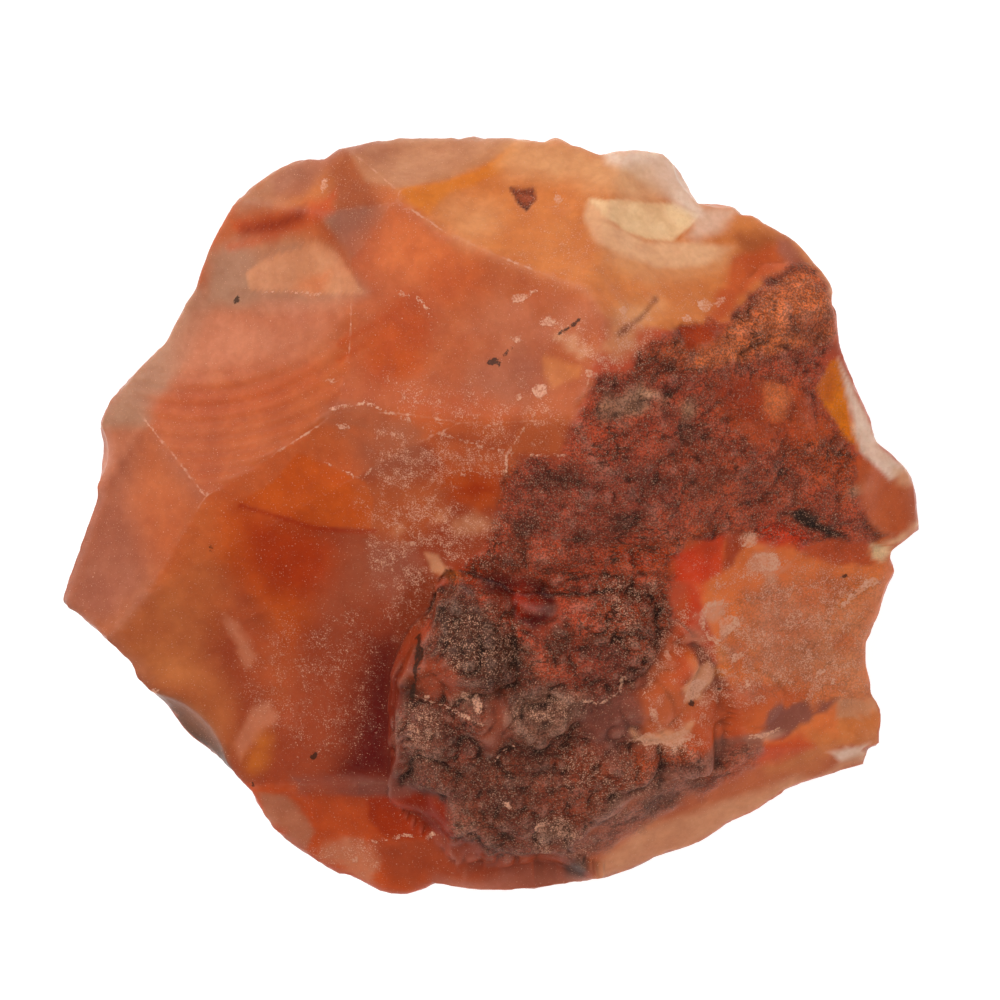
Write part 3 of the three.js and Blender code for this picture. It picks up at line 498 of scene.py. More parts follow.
    spots("soot", .5, 1.2, .5, (-1.8, -14.9, 1.2, 1.07, 0), (3.3, -16.5, 1.07, 0.6, -30)),
    spots("dusty", .6, .8, .4, (4.4, -21.4, 1.2, 0.6, 0), (-1.3, -12.1, 0.87, 0.73, 0)),
    area("mauve", .7, .8, .2, (-3.4, -18.2), (-1.8, -18.5), (-1.3, -19.5), (0, -21.4), (-0.9, -21.9),
        (-2.5, -20.6)),
    area("brick", .6, 1.2, .4, (9.4, -15.5), (12.1, -15.4), (14, -14.5), (13.3, -15.5), (10.6, -17.2),
        (8.7, -18.1)),
    # The southern edge: grey ridge, mauve band, pale rim.
    area("mauve", .9, 1.2, .3, (4.7, -22.6), (6.2, -21.2), (8.9, -19.1), (13.2, -16.7), (16.6, -15),
        (18.1, -15.4), (17.5, -16.8), (14, -18.4), (10.7, -20.4), (8, -22), (6, -22.9)),
    area("brick", .5, 1, .3, (14, -17), (17.2, -15.7), (18, -16.4), (16.9, -17.4), (14, -18.4)),
    spots("soot", .5, .8, .4, (10.8, -19.2, 1.33, 0.6, 25), (14, -17.7, 1.07, 0.33, 25)),
    line("soot", .7, .4, .2, .3, (7.3, -20.2), (8.8, -18.8), (11, -17.5), (13.3, -16.4), (14.8, -15.4),
        (16.9, -14.9)),
    line("grey brown", .9, .5, .2, .8, (5.2, -22.3), (6.2, -21), (7.8, -20), (8.9, -18.9), (11, -17.7),
        (13.2, -16.5), (14.7, -15.5), (16.3, -14.9), (17.8, -14.9)),
    area("sand", .85, .9, .15, (6.6, -23.6), (9, -21.6), (11, -20.4), (13, -19.8), (15.4, -19.1),
        (17, -18.7), (20.7, -17.2), (23.3, -16.5), (25.3, -16), (25.1, -16.9), (21.4, -17.7),
        (18.8, -19.1), (16, -20.7), (12.7, -22.8), (9.3, -23.9), (7.4, -24.3)),
    # The red window and the small facets of the south-west corner.
    area("burnt", .95, .6, .1, (-8.1, -18.7), (-5.1, -18.4), (-2.9, -18.9), (-2, -21.4), (-4.6, -21.6),
        (-7, -21.5), (-8.2, -20.2)),
    area("blood", .5, 1, .1, (-5.9, -18.7), (-2.9, -18.9), (-2, -21.4), (-4, -21.3)),
    area("plum", .8, .5, .1, (-13.2, -17.4), (-9.3, -17.3), (-5.1, -17.6), (-1.9, -18.4), (-1.8, -19),
        (-4.6, -18.5), (-8.1, -18.7), (-12.6, -18.4)),
    area("tan", .55, .5, .1, (-15.4, -18.4), (-13.6, -18.6), (-12.7, -19.4), (-11.6, -21.1),
        (-12.3, -22.3), (-13.6, -21.2), (-14.8, -20.7)),
    area("pink tan", .8, .6, .3, (-11.4, -22.7), (-11.2, -21.9), (-9.6, -21.5), (-7.8, -22.3),
        (-7.2, -23.6), (-7.8, -24.6), (-9.4, -23.9)),
    area("rust", .8, .8, .1, (-7.8, -21.7), (-2.2, -21.5), (0.2, -22.5), (4.7, -22.6), (6.7, -23.3),
        (4.7, -24.3), (0.4, -24.5), (-4, -24.3), (-6.3, -24.3), (-7, -23.4)),
    area("tan", .35, 1, .1, (-6.3, -25.2), (-4.2, -24.5), (0.7, -24.3), (4.7, -24.3), (7.4, -23.7),
        (7.4, -24.3), (2.6, -25.1), (-4, -25.6), (-6.3, -25.6)),
    spots("soot", .85, .4, .1, (5.7, -23.1, 0.87, 0.33, 12)),
    # Small changes of tone over the rest.
    area("pink cream", .6, 1.5, .2, (8.1, 23.2), (10.6, 23), (11.8, 21.6), (11.3, 20.4), (9, 20.6)),
    area("mauve", .55, 1, .2, (-14.2, 21.1), (-14.5, 22.6), (-12.1, 24.1), (-9.6, 25), (-7.3, 25.4),
        (-7, 24.6), (-9.6, 24), (-10.9, 22.7), (-12.6, 21.4)),
    spots("bark", .75, 1.2, .5, (-5.1, -11.5, 0.53, 1.07, 0), (4.8, -8.2, 1.33, 1.07, 0),
        (1.5, -3.1, 1.47, 0.6, 0)),
    spots("rust", .6, 1.5, .3, (-0.2, -23.2, 1.6, 0.67, 10)),
    spots("bark", .4, 1.5, .5, (-3.3, -15.1, 0.93, 1.33, 0), (-0.5, -16.3, 1, 0.8, 0)),
    spots("mauve", .4, 1.2, .4, (3.5, -17.7, 1.2, 0.8, 0), (9.9, -4.9, 0.8, 0.6, 0)),
    spots("flame", .6, 1, .3, (14.3, -2, 0.93, 0.67, 0)),
    spots("brick", .5, 1.5, .3, (-11.3, -18.2, 1.33, 0.53, 0)),
]

# Crisp pale chips and lines, and crisp dark specks.
PALE = [
    spots("", 1, 0, .06, (-11, 21.9, 0.27, 0.47, -10), (4.5, 20.9, 0.27, 0.47, 0),
        (1.9, 14.3, 0.53, 0.33, 10), (2.8, 14.7, 0.47, 0.17, 25), (3.8, 12.8, 0.6, 0.33, -5),
        (1.8, 11.6, 0.27, 0.2, 0), (14.2, 13.9, 0.47, 0.4, 0), (15.2, 14.1, 0.4, 0.2, 50),
        (13, 13, 0.27, 0.27, 0), (-5.8, 14.7, 0.4, 0.13, -20), (6.6, 9.4, 0.47, 0.27, -20),
        (3.3, 8.2, 0.53, 0.53, 0), (1.9, 7.8, 0.33, 0.27, 0), (-9.6, -22.1, 0.33, 0.13, 0),
        (-8.5, -23, 0.4, 0.2, -25), (-22.4, -11.7, 0.33, 0.27, 0), (-6.4, 5.4, 0.2, 0.2, 0),
        (-1.8, 2.7, 0.2, 0.13, 0), (-10.5, 8.9, 0.4, 0.13, 0), (-9.6, 5.9, 0.53, 0.13, -10),
        (-5.1, -1.8, 0.27, 0.2, 0), (8.8, 13.5, 0.33, 0.27, 0), (-0.8, -12.5, 0.33, 0.6, 20),
        (-1.6, -12, 0.27, 0.4, 0), (10.7, -12.9, 0.27, 0.6, 15), (3.4, -20.8, 0.6, 0.27, 0),
        (1.2, -19.4, 0.47, 0.17, -40), (-4.1, -12, 0.2, 0.2, 0)),
    line("", 1, 0, .1, .16, (-15.1, 14.8), (-13.6, 14.9), (-11.2, 14.7)),
    # The ledge's arris: a pale line that is partly its small chips and partly a painted highlight.
    line("", 1, 0, .07, .15, (-10.5, 7.1), (-8.2, 7.5), (-5.8, 6.5), (-4.5, 5.9), (-2.5, 5.2), (-0.4, 4.6),
        (1.2, 4.2), (2.7, 4), (5.2, 4)),
    line("", 1, 0, .08, .16, (1.2, 4.2), (1.1, 3)),
    line("", .8, 0, .05, .12, (1.2, 4.2), (2.5, 6.1), (3.8, 7.8)),
    line("", .9, 0, .1, .35, (15.4, -5.7), (14.4, -5.8), (14.1, -6.5), (14.1, -7.3), (14.5, -8.1),
        (15.1, -8.3)),
    area("", .8, 0, .2, (15.2, -7), (15.9, -6.4), (16.8, -6.7), (16.7, -7.4), (15.9, -7.9), (15.3, -7.8)),
    spots("", .9, 0, .08, (16.4, -9.3, 0.4, 0.27, 20), (18.5, -5.7, 0.2, 0.4, 10),
        (20.4, -4.8, 0.27, 0.13, -30), (22, -10.4, 0.4, 0.2, 30), (22.9, -11, 0.2, 0.4, 0),
        (23.9, -13.9, 0.2, 0.27, 0), (11.8, -9.2, 0.27, 0.33, 0), (21.2, -9, 0.2, 0.2, 0),
        (17.2, -11.1, 0.2, 0.2, 0), (19.6, -3, 0.27, 0.13, 30), (18.2, -7.7, 0.13, 0.27, 0),
        (15.4, -10.3, 0.27, 0.2, 0), (20.6, -6.6, 0.2, 0.13, 20), (23.7, -8.3, 0.13, 0.27, 0)),
    area("", 1, 0, .2, (12.7, -12.2), (13, -11.1), (13.8, -10.7), (14.5, -11), (14.2, -11.9),
        (13.4, -12.4)),
    area("", 1, 0, .2, (17.6, -2.6), (18.2, -2.2), (19, -2.5), (19.5, -3.4), (18.9, -3.8), (18.2, -3.4)),
    area("", 1, 0, .2, (16.6, -2), (17.1, -1.3), (17.8, -1), (17.6, -2), (17, -2.2)),
    area("", 1, 0, .25, (9.6, -15), (10.5, -14.2), (11.4, -14.6), (12.6, -14), (13.3, -14.4),
        (12.1, -15.2), (10.6, -15.5)),
    line("", 1, 0, .15, .4, (23.5, -6), (24.5, -5.1), (25.6, -4.3)),
    line("", 1, 0, .12, .3, (17.3, -14.7), (18.2, -14.6), (19.2, -14.2)),
    line("", 1, 0, .06, .2, (-4.7, 14.4), (-4.3, 13.9), (-3.9, 13.1)),
    line("", 1, 0, .06, .16, (-11, 3.6), (-8.4, 2.4), (-7.8, 3.1)),
    line("", 1, 0, .08, .16, (6.3, -12.3), (7.3, -12.5), (8.3, -12.1), (8.8, -11.5), (9, -10.7)),
    line("", 1, 0, .06, .14, (9, -10.7), (10.1, -11.5), (10.4, -12)),
    line("", 1, 0, .08, .2, (-5, -12), (-3.3, -12.7), (-1.8, -13.1), (-0.4, -13.6)),
    line("", 1, 0, .06, .15, (0.4, -16.5), (0.8, -15.9), (1.7, -15.5)),
    line("", 1, 0, .05, .15, (-9.9, -22.3), (-9.2, -23.2)),
    line("", 1, 0, .05, .2, (-7.8, -21.7), (-5.5, -21.3), (-3.3, -21.5)),
]
DARK = [
    spots("", 1, 0, .08, (0.3, 10.2, 0.4, 0.2, 20), (1, 10.7, 0.4, 0.13, 45), (0.7, 9.9, 0.2, 0.13, 80),
        (-18.4, -2.1, 0.13, 0.13, 0), (-16.8, 14.4, 0.1, 0.2, -20), (-15.7, -18, 0.17, 0.2, 0),
        (-11.7, -16, 0.27, 0.27, 0), (13.4, -12.4, 0.27, 0.2, 0), (15.5, -11.7, 0.13, 0.1, 0),
        (23.7, -4, 0.2, 0.13, 0), (-4.5, -9.2, 0.17, 0.6, -10), (-4.8, -8.2, 0.2, 0.2, 0)),
    line("", 1, 0, .08, .12, (4.5, 11.9), (5.2, 12.3), (5.9, 12.9)),
    line("", 1, 0, .08, .3, (-4.7, -8), (-4.7, -9.2), (-4.9, -10.8), (-5.2, -12.2)),
]

# Where ridges carry a pale line: partly chipped wear, partly a painted highlight.
WORN_AND_HIGHLIT_RIDGES = [
    line(.85, 1, .8, .1, 1.6, (-7.8, 14.5), (-9.9, 11.4), (-11.2, 8.5), (-11.4, 7.5), (-11.3, 6),
        (-12.8, 4.3), (-14.1, 2.5), (-16.6, 1.1), (-18.2, 0.4)),
    line(.6, 1, .8, .1, 1.6, (-9.7, 24.3), (-6.6, 20.9), (-3.9, 19.7), (-1, 17.3), (3.1, 16)),
    line(.7, 1, .8, .1, 1.6, (-22.9, 6), (-21.8, 4.9), (-20.1, 1.6), (-18.2, 0.5)),
    line(.8, 1, .8, .1, 2, (-6.4, 6.8), (-3.2, 5.5), (1.2, 4.3), (5.2, 4)),
    line(.6, 1, .8, .1, 1.6, (1.2, 4.5), (2.8, 7.2), (4.9, 8.2), (6.3, 9.4)),
]

# Cream mineral dust, and grains on the rough rind. The first entry is how thick they lie, from 0 to 1,
# and it replaces what was there before.
DUST = [
    area(.75, 1, 2, .8, (-7.5, 5.7), (0.7, 4.6), (0.7, 2.4), (-2.3, 1.1), (0.7, -0.9), (-0.6, -2.6),
        (-2.9, -3.9), (-5.9, -8.2), (-6.9, -5.6), (-8.2, -0.3)),
    area(.6, 1, 2.5, .8, (-6.5, 8.9), (-0.6, 8.4), (4.6, 8.1), (5.3, 5), (2, 4.4), (-5.8, 6.6)),
    area(.85, 1, 1.5, .8, (4.4, 12.2), (8.6, 12.9), (10.6, 13.9), (10.9, 12.2), (9, 9.7), (7.2, 8.9),
        (5.9, 10.2)),
    area(.8, 1, 2, .8, (13.9, -2.9), (26, -3.9), (25.1, -8.9), (25.5, -11.9), (18, -12.2), (13.3, -14.2),
        (13.3, -6.9)),
    area(.8, 1, 1.5, .8, (10.9, -8.8), (12.1, -5.5), (13.3, -5.5), (12.6, -11.5), (11, -12.2),
        (10, -11.5)),
    area(.7, 1, 1, .6, (10, -13.5), (13.3, -13.6), (14, -14.9), (10.6, -16.2), (8.6, -15.5)),
    area(.4, 1, 2.5, .8, (-15.9, -8.2), (-8.6, -5.6), (-7.3, -8.2), (-7.9, -14.9), (-12.6, -16.2),
        (-16.6, -12.2)),
    area(.6, 1, 2, .8, (-11.3, -21.6), (-7.3, -22.3), (-7.3, -25), (-12.6, -22.3)),
    spots(.35, 1, 4, .8, (4.6, 17.5, 4, 2.67, -20), (-9.9, 22.3, 2.67, 0.93, -40),
        (9.9, 14.2, 4, 1.07, 0)),
    spots(0, 1, 1, .3, (-0.8, 1.9, 1.33, 0.8, 10), (14.2, -5.5, 0.53, 2.67, -8)),
    spots(.8, 1, 1.2, .6, (3.7, -12.9, 1.87, 1.07, 10), (4.7, -21.4, 1.6, 0.93, 0),
        (-1.4, -12.1, 1.2, 0.67, 0), (13.9, -11.5, 1.33, 0.67, -30), (-4.6, -14.5, 1.07, 1.73, 0)),
    spots(.55, 1, 1.5, .6, (-0.8, -8.2, 2.53, 2.27, 0), (9.4, -6.3, 2.27, 2.27, 0),
        (7.3, -16.8, 3.33, 2, -30)),
    spots(.9, 1, .8, .5, (17.1, -1.6, 1.07, 0.53, 20), (18.2, -2.9, 1.2, 0.8, 30),
        (14.9, -6.3, 1.07, 0.87, 80), (15.7, -7.4, 1.2, 0.8, 25), (6.5, 10.8, 2, 0.67, -30),
        (9.9, 12.9, 1.47, 0.67, -30)),
]
RIND = [
    area(.8, 1, .8, .5, (19.9, 16.4), (18.2, 15.5), (16.7, 14.3), (15.7, 12.9), (14.6, 12.5), (12.1, 12.3),
        (11.2, 11.7), (10, 10.7), (9, 9.7), (7.6, 9.3), (6.6, 8.1), (5.7, 6.3), (4.6, 3.8), (2, 3.7),
        (1.4, 3), (0.8, 1.1), (0.6, 0), (0, -1.6), (-1.8, -3.1), (-2.9, -4), (-3.9, -5.5), (-4.8, -8.8),
        (-4.8, -11.5), (-6.1, -13.2), (-6.1, -17.7), (-3.3, -18.5), (-2.2, -21.5), (1.2, -22.7),
        (5.2, -22.3), (8.9, -19), (14, -16.2), (13.3, -15.2), (10, -15.6), (9.4, -12.1), (11.3, -8.2),
        (12.2, -5.5), (11.8, -2.9), (13.2, -1.7), (16.6, -1.1), (20.6, -2.1), (24.8, -3.1), (25.9, -1.6),
        (26, 1.7), (25.3, 3.7), (23.9, 5), (22.1, 7.7), (22.5, 10.9), (23.1, 12.3), (22.8, 14.3),
        (21.4, 16.8)),
    area(.45, 1, .25, .1, (1.4, 21.7), (2.9, 21.8), (3.1, 21), (2.5, 20.2), (1.8, 20.7)),
    area(.25, 1, .8, .3, (12.2, 12.4), (14.6, 12.5), (15.7, 12.8), (15.3, 11.7), (14.2, 10.9),
        (13.2, 11.2)),
    area(.4, 1, 1.2, .5, (13.8, 8.6), (18, 9.1), (20.5, 8.7), (22, 7), (23.2, 5), (17.8, 4.6)),
    area(1, 1, .8, .5, (-3.7, -6.3), (-2.6, -5.7), (-0.6, -5.6), (0.7, -6.3), (1.7, -8), (2, -9.8),
        (1, -10.8), (-0.3, -11.1), (-1.8, -10.1), (-2.9, -9.2), (-3.7, -8.2)),
    area(1, 1, .8, .5, (6.8, -4.5), (7.6, -3.8), (9.9, -4.1), (11.5, -4.5), (12.2, -5.8), (12.1, -6.9),
        (11.3, -8.8), (9.7, -9.8), (7.6, -8.2), (6.8, -6.2)),
    area(.3, 1, 1, .4, (-0.6, -4.2), (0.7, -3.7), (2.7, -3.9), (4.4, -5), (4.7, -7), (3.3, -7.8),
        (1.7, -6.7), (0.4, -5.5)),
    area(.25, 1, .8, .3, (-4.5, -9.2), (-3.3, -9), (-2.1, -10.3), (-1.5, -11.6), (-3.3, -12.1),
        (-4.9, -11.5)),
    area(.25, 1, .8, .3, (-0.2, -12.1), (1, -11.5), (1.5, -14.8), (0, -15.5), (-0.6, -14.1)),
    area(.25, 1, .8, .3, (6, -13.6), (9, -11.5), (10, -12.5), (9.7, -14.5), (8.1, -16.8), (7.1, -15.5)),
    area(.6, 1, 1, .4, (4.7, -22.6), (6.2, -21.2), (8.9, -19.1), (13.2, -16.7), (16.6, -15), (18.1, -15.4),
        (17.5, -16.8), (14, -18.4), (10.7, -20.4), (8, -22), (6, -22.9)),
    area(.05, 1, .6, .2, (24.3, 5), (25.7, 3.2), (26.7, 2.3), (29, 3.1), (29, -0.3), (26.9, -1.6),
        (25.9, -0.9), (25, 0.3), (24.3, 2.1)),
    area(.3, 1, 1, .5, (16.3, -5), (20.6, -3.7), (26.3, -3.9), (25.1, -8.9), (25.6, -12.1), (20.7, -12.2),
        (16.3, -11.5), (15, -8.2)),
    area(.15, 1, .6, .4, (20.3, -2.4), (21.9, -1.7), (23.9, -1.6), (26.3, -1.6), (26.7, -4.1),
        (20.6, -3.8)),
    area(.15, 1, .5, .2, (21.7, 8.5), (22.5, 10.2), (23.1, 10.5), (23.7, 8), (24.6, 4.2), (22.6, 6.6)),
]

# -------------------- smaller numbers

TINY = 1e-6                   # stands in for 0 under a fraction
NUDGE = 1e-12                 # keeps a direction from having no length
LATTICE = 64                  # corners along each side of the lattice of random values
LATTICE_SHIFT = 200.0         # keeps every place on the lattice above 0
PROUD = 0.1                   # how far the lump stands out before it takes its own tone
CLOSE = 0.02                  # sideways step to the rays beside a chip's middle
SIDEWAYS = (0.0, 1.0, 0.2)    # a direction that no chip lies in
LEAST_APART = 0.05            # grid points count as at least this far apart
LEAST_EDGE = 0.001            # shortest edge of the grid that a change is measured along
LEAST_SLOPE = 0.05            # and gaps between scars as growing at least this fast
WANDER_MOST = 1.5             # the most that the waves along a mark's edge add up to
FLECK_EDGE = 0.5              # how far beyond a fleck its distance is followed
RIDGE_FAR = 0.6               # how far from a ridge its distance is followed
SCALLOP = 1                   # number of the rippled scallop in TOP_SCARS

# Where masks begin and end: heights in mm, distances in mm, or sharpness of bend.
DRIFT_HEIGHTS = (10.5, 13.5)  # below these, marks drift to one side
UNDER_HEIGHTS = (11.4, 13.6)  # below these, the wall takes the underside's colour
RIPPLES_FROM = (11.5, 14.5)   # how far from the blow the ripples begin
WORN_WIDTH = (0.3, 0.55)      # how far from a ridge its wear goes
PATCH_EDGE = (0.05, 0.35)     # how high the waves stand where the underside has rind
NIBBLED_BEND = (0.03, 0.16)   # how sharply a ridge bends before it is nibbled
PALE_BEND = (0.04, 0.2)       # or takes its pale line, partly chipped wear and partly a painted highlight
DARK_BEND = (0.03, 0.2)       # and how sharply a crease does before it takes painted shade

# Amounts from 0 to 1: where no row of marks lies, and underneath.
THIN_DUST, LITTLE_WEAR_AND_HIGHLIGHT = 0.06, 0.05
LOW_RIND, LOW_DUST, LOW_WEAR_AND_HIGHLIGHT = 0.8, 0.15, 0.25

# How the colour varies.
SCREEN_CURVE = 2.2            # power that turns a screen's tone into an amount of light
LEAST_LIGHT = 0.002           # no tone is darker
SCAR_PASSES = 2               # how often neighbouring scars' tones are blurred into each other
EDGE_PASSES = 20              # and the edge scars' tones
RIPPLE_TINT = np.array([0.021, 0.035, 0.035])
UNDER_WANDER = 0.7            # how far in mm the top edge of the underside's colour wanders
TONE_BLEND = 0.4              # how high its waves stand where its two tones are done blending
WANDER_SHARE = 0.3            # how much finer waves roughen that blend
PATCH_TONE = 0.85             # how much of a third tone lies on its rind
FINE_ON_STONE, FINE_ON_RIND = 0.02, 0.16
HOLLOW_SHADE = 0.32           # painted shade and light: how much each millimetre down darkens the colour, or up lightens it
HOLLOW_LIMITS = (0.65, 1.3)   # the least and the most that it may do so
RIM_WIDTH = 0.9               # width in mm of the painted light shining through the thin rim
RIM_WANDER = 0.25
RIND_RIDGE_HIGHLIGHT = 1.5             # how much stronger the ridges' painted highlight is on the rind
# Painted shade in creases: how much it darkens broken stone and rind.
CREASE_SHADE_ON_STONE, CREASE_SHADE_ON_RIND = 0.25, 0.6

# What the mesh carries for the finish, besides its colour.
LAYERS = ["rind", "dust", "pale", "dark", "ridge_line", "worn"]

# Noises of the finish: waves to the metre, detail and roughness.
NOISES = {
    "grit": (11000, 1, 0.5), "soot": (7000, 2, 0.5), "grain": (2900, 2, 0.6), "clumps": (950, 2, 0.5),
    "cloud": (300, 3, 0.6), "blotch": (800, 4, 0.7), "vein": (500, 3, 0.6),
}
MIDDLE = 0.5                  # the middle of a noise, where its veins run
STREAKS = {"Scale": (0.42, 1, 1), "Rotation": (0, 0, 0.2)}

# How the finish reads a value: the two levels that it goes between, and what they stand for.
READINGS = {
    "clouding": (0.35, 0.65, 0, 1), "graining": (0.3, 0.7, 0, 1),
    "blotches": (0.43, 0.6, 0, 1), "vein width": (0.004, 0.018, 0.8, 0),
    "vein patches": (0.42, 0.56, 0, 1),
    "dust clumps": (0.38, 0.6, 0.2, 1.1), "dust grains": (0.36, 0.6, 0.4, 1),
    "dust veil": (0.4, 0.7, 0, 0.3),
    "ridge width": (0.35, 0.7, 0, 0.11), "ridge edge": (-0.05, 0.05, 0, 1),
    "ridge breaks": (0.42, 0.6, 0.15, 1),
    "fleck edge": (0.3, 0.38, 0, 0.85), "crust grains": (0.38, 0.6, 0.35, 1.2),
    "crust clumps": (0.4, 0.58, 0.65, 1.1),
    "dust roughness": (0, 1, 0, 0.12), "grain roughness": (0.3, 0.7, -0.05, 0.07),
    "clump height": (0, 1, 0.3, 1.8),
}
PIT_LEVELS = (0.37, 0.3)
SPARKLE_LEVELS = (0.81, 0.88)
SPECK_LEVELS = (0.67, 0.77)
RIND_ROUGHNESS = 0.62

# How much of one noise or layer is added to another, before the sum is read or makes the bump.
CLUMPS_IN_PITS = -0.35
GRAIN_IN_SPARKLE = 0.5
DUST_IN_SPECKS = 0.24
RAGGED_GRAIN, RAGGED_GRIT = 0.45, 0.2
BUMPS = {"rind": 1.5, "dust": 0.2, "grit": 0.4, "grain": 0.06, "pale": 0.25}

# What the clouds, clumps, grains and blotches multiply the colour by.
CLOUD_SHADE = (0.88, 0.8, 0.76, 1)
CLUMP_SHADE = (0.93, 0.89, 0.86, 1)
GRAIN_SHADE = (0.94, 0.92, 0.9, 1)
BLOTCH_SHADE = (0.58, 0.55, 0.6, 1)

# Random waves, named by what they move: their length in mm, their height and the seed of their draw.
WAVES = {
    "wall": (1.2, 0.08, 41), "fine wall": (0.5, 0.09, 42),
    "knob edge": (1.7, 0.16, 43), "fine knob edge": (0.7, 0.08, 44),
    "rind swell": (2.6, 0.2, 11), "rind lumps": (1.5, 0.4, 12), "rind pits": (0.6, 0.12, 13),
    "lump knobs": (3.4, 1.3, 14), "fine lump knobs": (1.2, 0.4, 33),
    "nibble": (0.8, 1.0, 15), "fine nibble": (0.4, 0.6, 16),
    "swell": (4.0, 0.05, 17), "fine swell": (1.3, 0.02, 18),
    "mark edge": (1.1, 1.0, 21), "fine mark edge": (0.45, 0.5, 22),
    "low rind": (9.0, 1.0, 23), "fine low rind": (2.5, 0.35, 24), "low tone": (6.0, 1.0, 25),
    "broad tone": (5.0, 0.05, 26), "middle tone": (1.6, 0.04, 27), "fine tone": (0.7, 1.0, 28),
    "drift east": (2.4, 1.6, 31), "drift north": (2.4, 1.6, 32),
}

# How straight edges wander: the length of the waves in mm, how far they shift an edge, and their seed.
BODY_WANDER = (5, 0.25, 31)
LUMP_WANDER = (3, 0.7, 35)
WANDER_REACH = 18             # how far out from the core that shift is measured

# How deep the rind's lumps and the dark lump's knobs are sunk, so that they rise and fall about the skin.
RIND_SUNK = 0.15
KNOBS_SUNK = 0.5


# -------------------- faces met by a ray

def unit(vectors):
    """The same directions, each 1 long."""
    return vectors / np.linalg.norm(vectors, axis=-1, keepdims=True)


def ball_through(first, second, third, bend):
    """The face through three points: flat where `bend` is 0, and otherwise part of a ball, hollow where
    `bend` is less than 0. The ball's centre stands on the line through the middle of the points' circle,
    at the height where its radius is `bend`."""
    a, b, c = (np.array(POINTS[name], float) for name in (first, second, third))
    cross = np.cross(b - a, c - a)
    normal = cross / np.linalg.norm(cross)
    if normal @ (a - CORE) < 0:
        normal = -normal
    if bend == 0:
        return ("flat", normal, normal @ (a - CORE))
    middle = a + (np.cross(cross, b - a) * ((c - a) @ (c - a))
                  + np.cross(c - a, cross) * ((b - a) @ (b - a))) / (2 * (cross @ cross))
    rise = np.sqrt(bend * bend - (middle - a) @ (middle - a))
    return ("ball", middle + normal * rise * np.sign(bend) - CORE, bend)


def ball_under(azimuth, out, height, slope, bend):
    """A face of the underside, which passes through the point `out` mm from the axis at that azimuth
    and height, and leans outward by `slope`."""
    turn, tilt = np.radians(azimuth), np.radians(slope)
    normal = np.array([np.cos(turn) * np.sin(tilt), np.sin(turn) * np.sin(tilt), -np.cos(tilt)])
    middle = np.array([out * np.cos(turn), out * np.sin(turn), height])
    return ("ball", middle + normal * bend - CORE, bend)


def reach(rays, face):
    """Distance along each ray to a face. A flat: its distance over the cosine. A ball: b - sqrt(b² - c)
    from outside and b + sqrt(b² - c) from inside, where b is the centre's distance along the ray and c
    its squared distance less the squared radius."""
    kind, place, size = face
    along = rays @ place
    if kind == "flat":
        return np.where(along > TINY, size / np.maximum(along, TINY), NEVER)
    within = along * along - place @ place + size * size
    root = np.sqrt(np.maximum(within, 0))
    if size < 0:
        return along + root
    return np.where((within > 0) & (along > 0), along - root, NEVER)


def soft_least(distances, soft):
    """The least of several distances, eased by `soft` mm where two are nearly equal: the least, less
    soft times the logarithm of the summed exponentials of the differences."""
    low = distances.min(axis=0)
    return low - soft * np.log(np.exp((low - distances) / soft).sum(axis=0))


def smooth_step(low, high, value):
    """0 below `low`, 1 above `high`, and 3t² - 2t³ between."""
    part = np.clip((value - low) / (high - low), 0, 1)
    return part * part * (3 - 2 * part)


def waves(points, length, seed):
    """Smooth random waves about `length` mm long, from -1 to 1: random values on the corners of a
    cubic lattice, blended across each cell along the curve 3t² - 2t³."""
    values = np.random.default_rng(seed).uniform(-1, 1, (LATTICE, LATTICE, LATTICE))
    place = points / length + LATTICE_SHIFT
    cell = np.floor(place).astype(int)
    part = place - cell
    part = part * part * (3 - 2 * part)
    total = 0.0
    for corner in np.ndindex(2, 2, 2):
        weight = np.where(corner, part, 1 - part).prod(axis=-1)
        at = (cell + corner) % LATTICE
        total = total + weight * values[at[..., 0], at[..., 1], at[..., 2]]
    return total


def wave(points, name):
    """One of the named waves, at its own height."""
    length, height, seed = WAVES[name]
    return height * waves(points, length, seed)


def wandering(rays, length, shift, seed):
    """Rays turned a little by random waves, so that what they meet lies up to `shift` mm to one side
    and straight edges wander."""
    places = CORE + WANDER_REACH * rays
    turned = np.stack([waves(places, length, seed + number) for number in range(3)], axis=-1)
    return unit(rays + turned * shift / WANDER_REACH)


def outline_radius(angle):
    """Distance from the axis to the outline at an angle. Between two corners, one over the radius
    changes evenly with the angle, which is nearly a straight edge."""
    x, y = np.array(OUTLINE, float).T
    corner_angle = np.arctan2(y, x)
    order = np.argsort(corner_angle)
    return 1 / np.interp(angle, corner_angle[order], 1 / np.hypot(x, y)[order], period=2 * np.pi)


# -------------------- the whole skin

def on_lump(tone):
    """Whether each point's scar is one of the dark lump's faces."""
    return (tone >= len(TOP_SCARS)) & (tone < len(TOP_SCARS) + len(LUMP_FACES))


def across(rays, place, distance):
    """How far a ray passes from the line through a place, in mm at the given distance, and whether
    the ray is on the same side of the core."""
    axis = unit(np.array(place, float) - CORE)
    cosine = rays @ axis
    return np.sqrt(np.maximum(0, 1 - cosine * cosine)) * distance, cosine > 0


